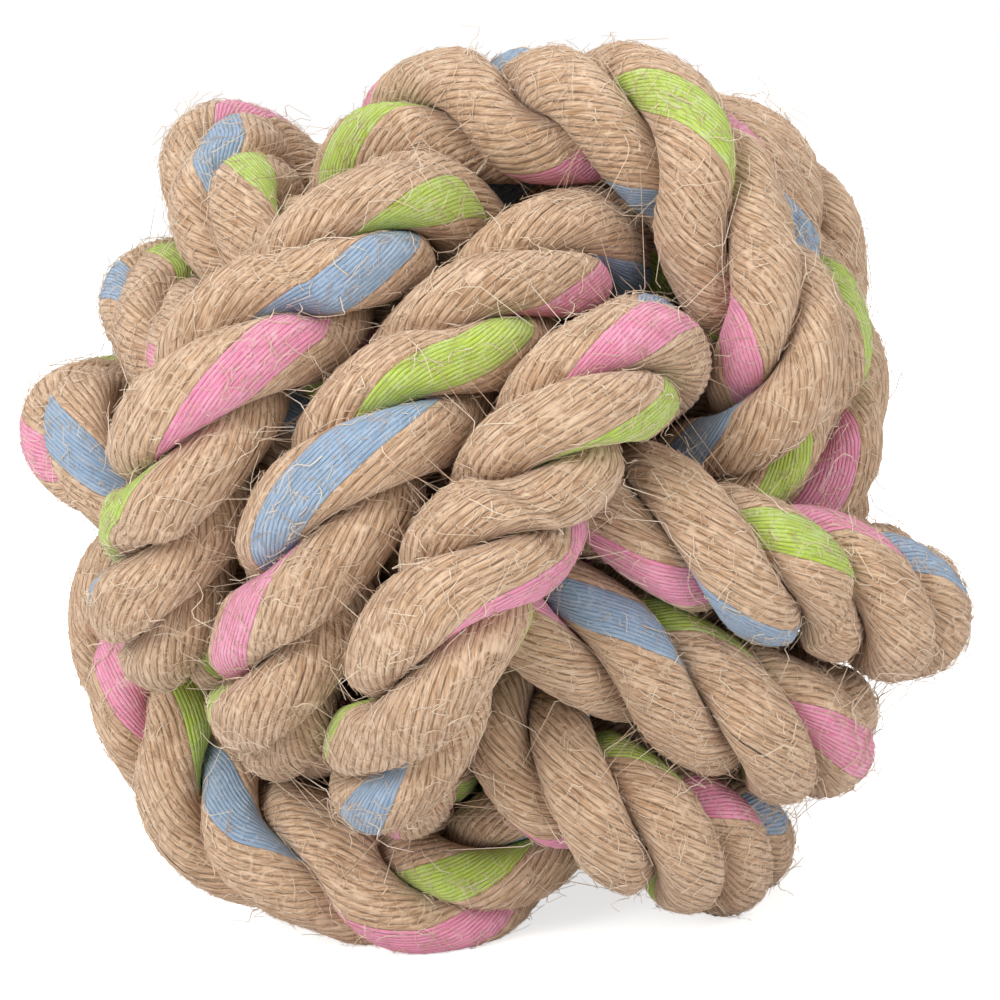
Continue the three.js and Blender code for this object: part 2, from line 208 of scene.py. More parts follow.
# Hairs across the yarns: each noise's shift in millimetres and its waves per millimetre
CROSSING_HAIRS = ((0.0, 0.32), (60.0, 0.45), (140.0, 0.6))
CROSSING_HAIR_EDGE = 0.022
CROSSING_MASK_WAVES = 1.7
CROSSING_HAIR_SHARE = 0.75

# Bump of a yarn: how much single hairs, streaks and crossing hairs add to its roundness
RELIEF_SHARES = (0.7, 0.7, 0.6)
YARN_BUMP = 0.17 * MM
YARN_BUMP_STRENGTH = 0.9

# Spans of a noise over which what it drives comes up or fades out. The span of the painted shade
# in the groove between two yarns runs from the middle of a yarn to its edge
# Pale fibres along the raised streaks, partly painted highlights
PALE_STREAK_AND_HIGHLIGHT_SPAN = (0.38, 0.64)
# Painted shade in the low streaks of a yarn
STREAK_SHADE_SPAN = (0.3, 0.5)
WHOLE_SPAN = (0.3, 0.7)
FLECK_SPAN = (0.56, 0.68)
GROOVE_SHADE_SPAN = (0.66, 0.97)
BREAK_SPAN = (0.38, 0.56)
CROSSING_MASK_SPAN = (0.47, 0.55)
LEAST_GROOVE_SHADE_SHARE = 0.2

# The two finishes, and how a dye is made darker for its painted shade and paler for its undyed fibres
HEMP_FINISH = {"fleck_share": 0.55, "pale_share": 0.8, "threads": 1.0}
DYED_FINISH = {"fleck_share": 0.5, "pale_share": 0.7, "threads": 2.0}
FINISH_SEED_STEP = 100.0
DYED_SEED = 50
DYE_SHADE_SHARE = 0.45
DYE_TINT_SHARE = 0.32
UNDYED_WHITE = (0.92, 0.88, 0.84)

# Loose fibres. A kind has its name ending, points along a fibre and shares of length and thickness
CM2 = 0.0001
FIBRE_KINDS = (("_loose_fibres", 7, 1.0, 1.0), ("_short_fuzz", 4, 0.4, 0.75))
FIBRE_SIDES = 3
SHORTEST_FIBRE_SHARE = 0.12
SHORT_FIBRE_POWER = 1.9
BURIED_SHARE = 2.55
LEAST_FACING_SHARE = 0.05
LEAST_STANDING_SHARE = 0.1
MOST_STANDING_SHARE = 0.4
WANDER_WAVES = 230
WANDER_SHARE = 2.4
FIBRES_APART = 900
FIBRE_RISE_SHARE = 0.1
STRAY_SHARE = 0.25
STRAY_POWER = 3.0
TAPER_SHARE = 0.55
THINNEST_FIBRE_SHARE = 0.6
THICKER_FIBRE_SHARE = 0.7

# The twine of a whipping
TWINE_STEPS_PER_TURN = 16
TWINE_SIDES = 8
TWINE_PLIES = 2
TWINE_LAY = 4 * MM
TWINE_GRAIN_WAVES = 2500.0
TWINE_GRAIN_SHARE = 0.6
TWINE_BASE_SHARE = 0.65
TWINE_PLY_SHADE_SPAN = (-1.0, 0.3)
TWINE_BUMP = 0.1 * MM
TWINE_BUMP_STRENGTH = 0.7

# What a finish sets on its shader
FIBRE_SHADER = {
    "Roughness": 0.85,
    "Specular IOR Level": 0.25,
    "Sheen Weight": 0.25,
    "Sheen Roughness": 0.5,
}
LOOSE_FIBRE_SHADER = {"Roughness": 0.6, "Specular IOR Level": 0.4}
TWINE_SHADER = {"Roughness": 0.7}

# The stage: each lamp's name, place, size and power
LAMPS = [
    ("key", (-0.42, -0.5, 0.5), 0.45, 4.5),
    ("fill", (0.6, -0.45, 0.3), 0.6, 2.0),
    ("top", (0.0, 0.1, 0.75), 0.6, 2.2),
]
LAMP_AIM = (0, 0, 0.045)
ROOM_LIGHT = 0.45
FLOOR_HALF = 3.0
FLOOR_DROP = 0.15 * MM
FLOOR_WHITENESS = 0.72
SENSOR_WIDTH_MM = 36
CAMERA_LENS_MM = 103
CAMERA_DISTANCE = 297 * MM
CAMERA_DEGREES = {"azimuth": -0.3, "elevation": 9.3, "roll": -6.0}
CAMERA_AIM_OFF = (1.05 * MM, 0.33 * MM)
CAMERA_CLIP = (0.01, 20)


def length_property(name, description, millimetres):
    """A length that the user can change"""
    return FloatProperty(
        name=name, description=description, default=millimetres * MM, unit="LENGTH"
    )


def count_property(name, description, default, least):
    """A whole number that the user can change"""
    return IntProperty(name=name, description=description, default=default, min=least)


def color_property(name, description, default):
    """A colour that the user can change"""
    return FloatVectorProperty(
        name=name,
        description=description,
        default=default,
        size=3,
        min=0,
        max=1,
        subtype="COLOR",
    )


class RopeBallSizes(PropertyGroup):
    """Sizes of the rope and of what is on it"""

    rope_diameter: length_property(
        "Rope diameter", "Across the three strands where the rope is not squeezed", 13.5
    )
    lay_length: length_property("Lay length", "Rope length in which a strand goes once round", 33)
    pass_clearance: length_property(
        "Gap between passes", "Aimed at between neighbouring passes of the rope", 1
    )
    strand_clearance: length_property(
        "CAD gap between strands", "Gap between two strands of the CAD solids", 0.8
    )
    strand_gap: length_property(
        "Visible gap between strands", "Gap that the dressed strands keep at their flanks", 0.2
    )
    soft_rise: length_property("Soft rise", "How far the yarns stand proud of the CAD strand", 0.35)
    ring_step: length_property("Ring step", "Rope length between two rings of the skin", 1.16)
    yarns: count_property("Yarns", "Yarns round one strand", 28, least=6)
    dyed_yarns: count_property("Dyed yarns", "Yarns of a strand that are dyed", 6, least=0)
    yarn_turns_per_lay: FloatProperty(
        name="Yarn turns per lay",
        description="Turns of the yarns round their strand in one lay, where the rope is buried",
        default=1.8,
    )
    yarn_groove: length_property("Yarn groove", "Depth of the groove between two yarns", 0.17)
    yarn_unevenness: length_property(
        "Yarn unevenness", "How far single yarns lie higher or lower", 0.07
    )
    whipping_width: length_property("Whipping width", "Rope length under a whipping", 8)
    twine_diameter: length_property("Twine diameter", "Across the twine of a whipping", 1.1)
    whipping_clearance: length_property(
        "Gap under a whipping", "Between the rope and the twine on it", 0.3
    )
    loose_fibres: count_property(
        "Loose fibres", "Fibres of each kind on a strand, per square centimetre of its outside", 36, least=0
    )
    fibre_length: length_property("Fibre length", "Length of the longest loose fibre", 8)
    fibre_thickness: length_property("Fibre thickness", "Across a loose fibre at its root", 0.1)
    seed: IntProperty(
        name="Seed",
        description="Seed of everything uneven",
        default=7,
    )


class RopeBallColors(PropertyGroup):
    """Colours of the fibres, as linear values"""

    hemp: color_property("Hemp", "Undyed fibre", (0.5, 0.3, 0.172))
    # Pale fibres, also the painted highlight on the raised streaks of a yarn
    hemp_pale: color_property("Pale hemp", "Bleached fibre between the darker ones", (0.81, 0.595, 0.415))
    # Painted shade in the grooves between yarns and between plies, and in the low streaks of a yarn
    hemp_painted_shade: color_property("Dark hemp", "Between two yarns", (0.15, 0.085, 0.042))
    hemp_fleck: color_property("Fleck", "Bark left on the fibre", (0.5, 0.235, 0.085))
    pink: color_property("Pink", "Dyed bundle of the first strand", (0.97, 0.29, 0.48))
    blue: color_property("Blue", "Dyed bundle of the second strand", (0.285, 0.43, 0.62))
    green: color_property("Green", "Dyed bundle of the third strand", (0.52, 0.7, 0.05))
    # Paler than the yarn: partly the fibres' own colour, partly painted light that shines through them
    loose_fibre: color_property("Loose fibre", "Single fibres that lie on the strands", (0.86, 0.73, 0.57))
    twine: color_property("Twine", "Whipping twine", (0.66, 0.58, 0.42))
    floor: color_property("Floor", "Floor and backdrop", (0.9, 0.9, 0.9))


def signed_power(value, power):
    return np.sign(value) * np.abs(value) ** power


def smooth_step(value, low, high):
    share = np.clip((value - low) / (high - low), 0, 1)
    return share * share * (3 - 2 * share)


def unit(vectors):
    return vectors / np.linalg.norm(vectors, axis=-1, keepdims=True)


def running_lengths(points):
    steps = np.linalg.norm(np.diff(points, axis=0), axis=1)
    return np.concatenate([[0], np.cumsum(steps)])


class Rope:
    """The rope's route through the knot, its frames and its lay, as the CAD source lays them"""

    def __init__(self, sizes):
        self.diameter = sizes.rope_diameter
        self.lay_length = sizes.lay_length
        self.pass_clearance = sizes.pass_clearance
        self.whipping_width = sizes.whipping_width
        self.whipping_rise = sizes.whipping_clearance + sizes.twine_diameter
        self.pitch = self.diameter + self.pass_clearance
        self.step = self.lay_length / STEPS_PER_LAY
        self.lay_out_route()
        self.round_corners()
        self.settle()
        self.add_frames()
        self.add_lay()
        self.add_bundles(sizes.yarn_turns_per_lay)

    def band_points(self, number):
        """Points of a band's loops, how buried they are, and their degrees"""
        band = BANDS[number]
        first, last = band["degrees"]
        degrees = np.linspace(first, last, round((last - first) / ROUTE_STEP_DEGREES) + 1)
        angle = np.radians(degrees)
        exposed = np.sin(angle) ** 2
        places = {row[1]: row[2:] for row in PASS_PLACE_SHARES if row[0] == number}
        rows = [places.get(int(value // PASS_DEGREES), (0, 0, 0)) for value in degrees]
        shift, tilt, lift = np.array(rows, float).T
        loop = sum(smooth_step(degrees, low, high) for low, high in LOOP_CHANGE_DEGREES) - 1
        size = 1 - DOME_SHARE * loop * loop
        across = -signed_power(np.cos(angle), ROUNDNESS_SHARE)
        outward = (OUTER_REACH_SHARE * size + lift) * signed_power(np.sin(angle), ROUNDNESS_SHARE)
        along = INNER_REACH_SHARE * size * across
        even_place = loop * (INNER_PITCH_SHARE + (OUTER_PITCH_SHARE - INNER_PITCH_SHARE) * exposed)
        sideways = even_place + (shift + tilt * across) * exposed
        points = np.outer(outward, band["out"])
        points += np.outer(along, band["heading"])
        points += np.outer(sideways, band["side"])
        return points, 1 - exposed, np.full(len(degrees), float(number)), degrees

    def stretch_points(self, shares, buried):
        count = len(shares)
        return np.array(shares, float), np.full(count, buried), np.full(count, NO_BAND), np.zeros(count)

    def lay_out_route(self):
        """Stations at even distances along the whole route"""
        stretches = [
            self.stretch_points(START_TAIL_SHARES, 1.0),
            self.band_points(0),
            self.stretch_points(OVER_EDGE_SHARES, 0.0),
            self.band_points(1),
            self.stretch_points(THROUGH_CORE_SHARES, 1.0),
            self.band_points(2),
            self.stretch_points(END_TAIL_SHARES, 1.0),
        ]
        points, buried, band, degrees = [np.concatenate(column) for column in zip(*stretches)]
        points *= self.pitch
        lengths = running_lengths(points)
        places = np.linspace(0, lengths[-1], round(lengths[-1] / self.step) + 1)
        self.points = np.stack([np.interp(places, lengths, column) for column in points.T], 1)
        self.buried = np.interp(places, lengths, buried)
        self.band = np.interp(places, lengths, band)
        self.degrees = np.interp(places, lengths, degrees)

    def round_corners(self):
        for _ in range(ROUNDING_ROUNDS):
            middles = (self.points[:-2] + self.points[2:]) / 2
            self.points[1:-1] = (self.points[1:-1] + middles) / 2

    def settle(self):
        """Draws the knot tight: the rope straightens, stays near its route and makes room"""
        self.radius = self.diameter / 2 * (1 - SQUEEZE_SHARE * self.buried)
        reach = self.radius.copy()
        whipped = math.ceil(self.whipping_width / self.step) + 2
        reach[:whipped] += self.whipping_rise
        reach[-whipped:] += self.whipping_rise
        apart = math.ceil(NEIGHBOUR_SHARE * self.pitch / self.step)
        first, second = np.triu_indices(len(reach), k=apart)
        wanted = reach[first] + reach[second] + self.pass_clearance
        home = self.points.copy()
        for turn in range(SETTLE_ROUNDS):
            fade = 1 - turn / SETTLE_ROUNDS
            moved = self.bent_and_slid(fade)
            moved += ANCHOR_SHARE * fade * (home - self.points)
            self.push_apart(moved, first, second, wanted)
            self.points = moved

    def bent_and_slid(self, fade):
        points = self.points
        chords = points[2:] - points[:-2]
        lengths = np.linalg.norm(chords, axis=1, keepdims=True)
        chords = chords / lengths
        across = (points[:-2] + points[2:]) / 2 - points[1:-1]
        along = (across * chords).sum(1, keepdims=True) * chords
        across = across - along
        curvature = 8 * np.linalg.norm(across, axis=1, keepdims=True) / lengths**2
        tight = curvature > 1 / (BEND_RADIUS_SHARE * self.diameter)
        moved = points.copy()
        moved[1:-1] += np.where(tight, STIFFNESS_SHARE, SMOOTHING_SHARE * fade) * across
        moved[1:-1] += EVENNESS_SHARE * along
        return moved

    def push_apart(self, points, first, second, wanted):
        between = points[first] - points[second]
        distances = np.linalg.norm(between, axis=1)
        close = distances < wanted
        if not close.any():
            return
        first, second = first[close], second[close]
        pushes = between[close] * ((wanted - distances) / distances)[close][:, None]
        count = len(points)
        total = np.stack(
            [
                np.bincount(first, column, count) - np.bincount(second, column, count)
                for column in pushes.T
            ],
            1,
        )
        counts = np.bincount(first, minlength=count) + np.bincount(second, minlength=count)
        points += PUSH_SHARE * total / np.maximum(counts, 1)[:, None]

    def add_frames(self):
        """Two directions square to the rope at each station, carried along without twisting"""
        before = np.concatenate([self.points[:1], self.points[:-1]])
        after = np.concatenate([self.points[1:], self.points[-1:]])
        self.tangent = unit(after - before)
        normals = []
        normal = np.array([0.0, 0.0, 1.0])
        for tangent in self.tangent:
            normal = unit(normal - tangent * (normal @ tangent))
            normals.append(normal)
        self.normal = np.array(normals)
        self.binormal = np.cross(self.tangent, self.normal)

    def middle_station(self, band, number):
        """The station at the middle of an outer pass of a band"""
        off = np.abs(self.degrees - (number + 0.5) * PASS_DEGREES)
        off[self.band != band] = np.inf
        return int(np.argmin(off))

    def add_lay(self):
        """The pink strand's angle at each station"""
        lengths = running_lengths(self.points)
        places = []
        turns = []
        last = None
        for band, number, turn, before, after in PASS_TWIST_SHARES:
            i = self.middle_station(band, number)
            outward = self.points[i]
            angle = math.atan2(outward @ self.binormal[i], outward @ self.normal[i])
            wanted = angle / math.tau + turn - lengths[i] / self.lay_length
            if last is None:
                last = wanted
            wanted -= round(wanted - last)
            last = wanted + after
            reach = WRUNG_SHARE * self.pitch
            places += [lengths[i] - reach, lengths[i], lengths[i] + reach]
            turns += [wanted - before, wanted, wanted + after]
        self.lay = math.tau * (lengths / self.lay_length + np.interp(lengths, places, turns))

    def add_bundles(self, turns_per_lay):
        """Where each strand's dyed bundle lies on its section, at each station"""
        lengths = running_lengths(self.points)
        slope = turns_per_lay / self.lay_length
        reach = WRUNG_SHARE * self.pitch
        self.bundles = []
        for strand in range(len(STRANDS)):
            places = []
            shares = []
            for band, number, turns, *middles in PASS_BUNDLE_SHARES:
                middle = lengths[self.middle_station(band, number)]
                fall = turns * reach / self.lay_length
                share = middles[strand]
                if places:
                    expected = shares[-1] - slope * (middle - reach - places[-1])
                    share += round(expected - share - fall)
                places += [middle - reach, middle + reach]
                shares += [share + fall, share - fall]
            first = shares[0] + slope * places[0]
            last = shares[-1] - slope * (lengths[-1] - places[-1])
            places = [0, *places, lengths[-1]]
            self.bundles.append(np.interp(lengths, places, [first, *shares, last]))


def smooth_between(values, places):
    """Values at any places between the stations, on a smooth curve through the stations' own"""
    values = np.asarray(values, float)
    ends = [2 * values[:1] - values[1:2], values, 2 * values[-1:] - values[-2:-1]]
    padded = np.concatenate(ends)
    k = np.minimum(places.astype(int), len(values) - 2)
    share = (places - k).reshape((-1,) + (1,) * (values.ndim - 1))
    a, b, c, d = (padded[k + i] for i in range(4))
    return b + share / 2 * (
        c - a + share * (2 * a - 5 * b + 4 * c - d + share * (3 * (b - c) + d - a))
    )


def cad_strand_points(rope, place, clearance):
    """The corners of a CAD strand, before the knot is stood up"""
    angle = rope.lay - math.tau * place / len(STRANDS)
    inner = clearance / 2 / math.sin(math.pi / len(STRANDS))
    corners = [(np.full(len(angle), inner), 0)]
    corners += [(share * rope.radius, math.radians(degrees)) for share, degrees in CAD_SECTION_SHARES]
    points = []
    for radius, off in corners:
        side = rope.normal * np.cos(angle + off)[:, None] + rope.binormal * np.sin(angle + off)[:, None]
        points.append(rope.points + radius[:, None] * side)
    return np.concatenate(points)


def standing(rope, sizes):
    """The turn and the move that stand the knot on its flattened passes"""
    x, y, z = (math.radians(degrees) for degrees in STANDING_TURN_DEGREES)
    turn = np.array(
        Matrix.Rotation(x, 3, "X") @ Matrix.Rotation(y, 3, "Y") @ Matrix.Rotation(z, 3, "Z")
    )
    strands = [
        cad_strand_points(rope, place, sizes.strand_clearance) @ turn.T
        for place in range(len(STRANDS))
    ]
    corners = np.concatenate(strands)
    middle = (corners.min(0) + corners.max(0)) / 2
    floor = corners[:, 2].min() + REST_FLAT_SHARE * rope.diameter
    move = -np.array([middle[0], middle[1], floor])
    for name, points in zip(STRANDS, strands):
        low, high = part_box(name)
        off = max(
            np.abs((points.max(0) + move) - np.array(high)).max(),
            np.abs((points.min(0) + move)[:2] - np.array(low)[:2]).max(),
        )
        if off > CAD_FIT_MM * MM:
            raise RuntimeError(f"{name} is {off / MM:.2f} mm off its CAD solid")
    return turn, move


class Axis:
    """The rope's axis, stood up on the floor"""

    def __init__(self, sizes):
        self.rope = Rope(sizes)
        self.turn, self.centre = standing(self.rope, sizes)
        self.lengths = running_lengths(self.rope.points)

    def rings(self, first, last, count):
        """Rings at even distances between two lengths along the rope"""
        rope = self.rope
        lengths = np.linspace(first, last, count)
        places = np.interp(lengths, self.lengths, np.arange(len(self.lengths)))
        points = smooth_between(rope.points, places)
        tangent = unit(np.gradient(points, axis=0))
        normal = smooth_between(rope.normal, places)
        normal = unit(normal - tangent * (normal * tangent).sum(1, keepdims=True))
        return Rings(
            points @ self.turn.T + self.centre,
            normal @ self.turn.T,
            np.cross(tangent, normal) @ self.turn.T,
            smooth_between(rope.radius, places),
            smooth_between(rope.lay, places),
            lengths,
            [smooth_between(bundle, places) for bundle in rope.bundles],
        )


class Rings(NamedTuple):
    """Places along the rope, with two directions square to it and what is true there"""

    points: np.ndarray
    normal: np.ndarray
    binormal: np.ndarray
    radius: np.ndarray
    lay: np.ndarray
    lengths: np.ndarray
    bundles: list


axes = {}


def rope_axis(sizes):
    """The rope's axis for these sizes, worked out once"""
    names = [name for name in sizes.bl_rna.properties.keys() if name not in PLAIN_PROPERTIES]
    key = tuple(getattr(sizes, name) for name in names)
    if key not in axes:
        axes[key] = Axis(sizes)
    return axes[key]


def section_points(gap):
    """Half the visible section of a strand, from its back to the rope's axis, in shares of the radius

    The section is a third of the rope with a rounder back and rounded corners.
    """
    half = math.pi / len(STRANDS)
    back_centre = 1 - BACK_ARC_SHARE
    corner_ring = BACK_ARC_SHARE - CORNER_SHARE
    room = CORNER_SHARE + gap / 2
    corner_angle = half - math.asin((room - back_centre * math.sin(half)) / corner_ring)
    step = math.radians(SECTION_STEP_DEGREES)
    points = []
    for angle in np.arange(0, corner_angle, step):
        points.append((back_centre + BACK_ARC_SHARE * math.cos(angle), BACK_ARC_SHARE * math.sin(angle)))
    corner_x = back_centre + corner_ring * math.cos(corner_angle)
    corner_y = corner_ring * math.sin(corner_angle)
    flank_angle = half + math.pi / 2
    for angle in np.arange(corner_angle, flank_angle, step):
        points.append((corner_x + CORNER_SHARE * math.cos(angle), corner_y + CORNER_SHARE * math.sin(angle)))
    inner_x = room / math.sin(half)
    for angle in np.arange(flank_angle, math.pi, step):
        points.append((inner_x + CORNER_SHARE * math.cos(angle), CORNER_SHARE * math.sin(angle)))
    points.append((inner_x - CORNER_SHARE, 0))
    return np.array(points)


def section_object(sizes):
    """The whole section as a closed curve that the strand's nodes read"""
    half = section_points(sizes.strand_gap / (sizes.rope_diameter / 2))
    mirrored = half[1:-1][::-1] * (1, -1)
    whole = np.concatenate([half, mirrored])
    curve = bpy.data.curves.new("strand_section", "CURVE")
    curve.dimensions = "3D"
    spline = curve.splines.new("POLY")
    spline.points.add(len(whole) - 1)
    spline.use_cyclic_u = True
    for point, (x, y) in zip(spline.points, whole):
        point.co = (x, y, 0, 1)
    piece = bpy.data.objects.new("strand_section", curve)
    bpy.context.scene.collection.objects.link(piece)
    return piece


def new_node(tree, kind, sockets=None, **settings):
    """Adds a node, sets it up and links or sets its inputs"""
    node = tree.nodes.new(kind)
    for name, value in settings.items():
        setattr(node, name, value)
    for key, value in (sockets or {}).items():
        if isinstance(value, NodeSocket):
            tree.links.new(value, node.inputs[key])
        else:
            node.inputs[key].default_value = value
    return node


def calculate(tree, operation, first, second=0.0, third=0.0):
    """One Math node's output"""
    sockets = {0: first, 1: second, 2: third}
    return new_node(tree, "ShaderNodeMath", sockets, operation=operation).outputs[0]


def calculate_vector(tree, operation, first, second=(0, 0, 0), scale=None):
    """One Vector Math node's output"""
    node = new_node(tree, "ShaderNodeVectorMath", {0: first, 1: second}, operation=operation)
    if isinstance(scale, NodeSocket):
        tree.links.new(scale, node.inputs["Scale"])
    elif scale is not None:
        node.inputs["Scale"].default_value = scale
    return node.outputs["Value" if operation in {"DOT_PRODUCT", "LENGTH"} else "Vector"]


def join(tree, x, y, z=0.0):
    """A vector made of three values"""
    return new_node(tree, "ShaderNodeCombineXYZ", {0: x, 1: y, 2: z}).outputs[0]


def split(tree, vector):
    """The three values of a vector"""
    return new_node(tree, "ShaderNodeSeparateXYZ", {0: vector}).outputs


def above_floor(tree, position):
    """A place, or the one over it on the floor if it is lower"""
    x, y, z = split(tree, position)
    return join(tree, x, y, calculate(tree, "MAXIMUM", z, 0.0))


def map_range(tree, value, span, to_span):
    """A value moved from one span to another and kept inside it"""
    sockets = {0: value, 1: span[0], 2: span[1], 3: to_span[0], 4: to_span[1]}
    return new_node(tree, "ShaderNodeMapRange", sockets).outputs[0]


def noise(tree, vector, scale, detail, rough=0.5, output=0):
    """One Noise Texture node's output"""
    sockets = {"Vector": vector, "Scale": scale, "Detail": detail, "Roughness": rough}
    return new_node(tree, "ShaderNodeTexNoise", sockets).outputs[output]


def mixed(tree, factor, first, second):
    """A colour between two"""
    sockets = {0: factor, 6: first, 7: second}
    return new_node(tree, "ShaderNodeMix", sockets, data_type="RGBA").outputs[2]


def named_value(tree, label, kind):
    """The value that geometry keeps under a name"""
    node = new_node(tree, "GeometryNodeInputNamedAttribute", {"Name": label}, data_type=kind)
    return node.outputs["Attribute"]


def keep_value(tree, geometry, label, value, kind, domain="POINT"):
    """The geometry, with a value kept under a name"""
    sockets = {"Geometry": geometry, "Name": label, "Value": value}
    node = new_node(
        tree, "GeometryNodeStoreNamedAttribute", sockets, data_type=kind, domain=domain
    )
    return node.outputs[0]


def finished(tree, geometry, material):
    """The geometry smooth, in one mesh and with its material"""
    smooth = new_node(tree, "GeometryNodeSetShadeSmooth", {"Geometry": geometry})
    whole = new_node(tree, "GeometryNodeRealizeInstances", {0: smooth.outputs[0]})
    sockets = {"Geometry": whole.outputs[0], "Material": material}
    return new_node(tree, "GeometryNodeSetMaterial", sockets).outputs[0]


def geometry_tree(name, inputs):
    """A Geometry Nodes tree with named inputs, its input node and its output node"""
    tree = bpy.data.node_groups.new(name, "GeometryNodeTree")
    tree.interface.new_socket("Geometry", in_out="INPUT", socket_type="NodeSocketGeometry")
    tree.interface.new_socket("Geometry", in_out="OUTPUT", socket_type="NodeSocketGeometry")
    for label, kind in inputs:
        tree.interface.new_socket(label, in_out="INPUT", socket_type=kind)
    entry = tree.nodes.new("NodeGroupInput")
    leave = tree.nodes.new("NodeGroupOutput")
    return tree, entry, leave


def run_tree(source, tree, values, name):
    """Runs a tree on an object with these inputs and keeps the result as a plain mesh"""
    modifier = source.modifiers.new(tree.name, "NODES")
    modifier.node_group = tree
    for item in tree.interface.items_tree:
        if item.item_type == "SOCKET" and item.in_out == "INPUT" and item.name in values:
            modifier[item.identifier] = values[item.name]
    graph = bpy.context.evaluated_depsgraph_get()
    mesh = bpy.data.meshes.new_from_object(source.evaluated_get(graph), depsgraph=graph)
    source.modifiers.remove(modifier)
    mesh.name = name
    piece = bpy.data.objects.new(name, mesh)
    bpy.context.scene.collection.objects.link(piece)
    return piece


def path_object(name, points, attributes):
    """A mesh of loose points with named values, which a tree reads ring by ring"""
    mesh = bpy.data.meshes.new(name)
    mesh.from_pydata([tuple(point) for point in points], [], [])
    for label, values in attributes.items():
        values = np.asarray(values, np.float32)
        kind, key = ("FLOAT_VECTOR", "vector") if values.ndim == 2 else ("FLOAT", "value")
        attribute = mesh.attributes.new(label, kind, "POINT")
        attribute.data.foreach_set(key, values.ravel())
    piece = bpy.data.objects.new(name, mesh)
    bpy.context.scene.collection.objects.link(piece)
    return piece


def drop(piece):
    data = piece.data
    bpy.data.objects.remove(piece)
    if isinstance(data, bpy.types.Mesh):
        bpy.data.meshes.remove(data)
    else:
        bpy.data.curves.remove(data)


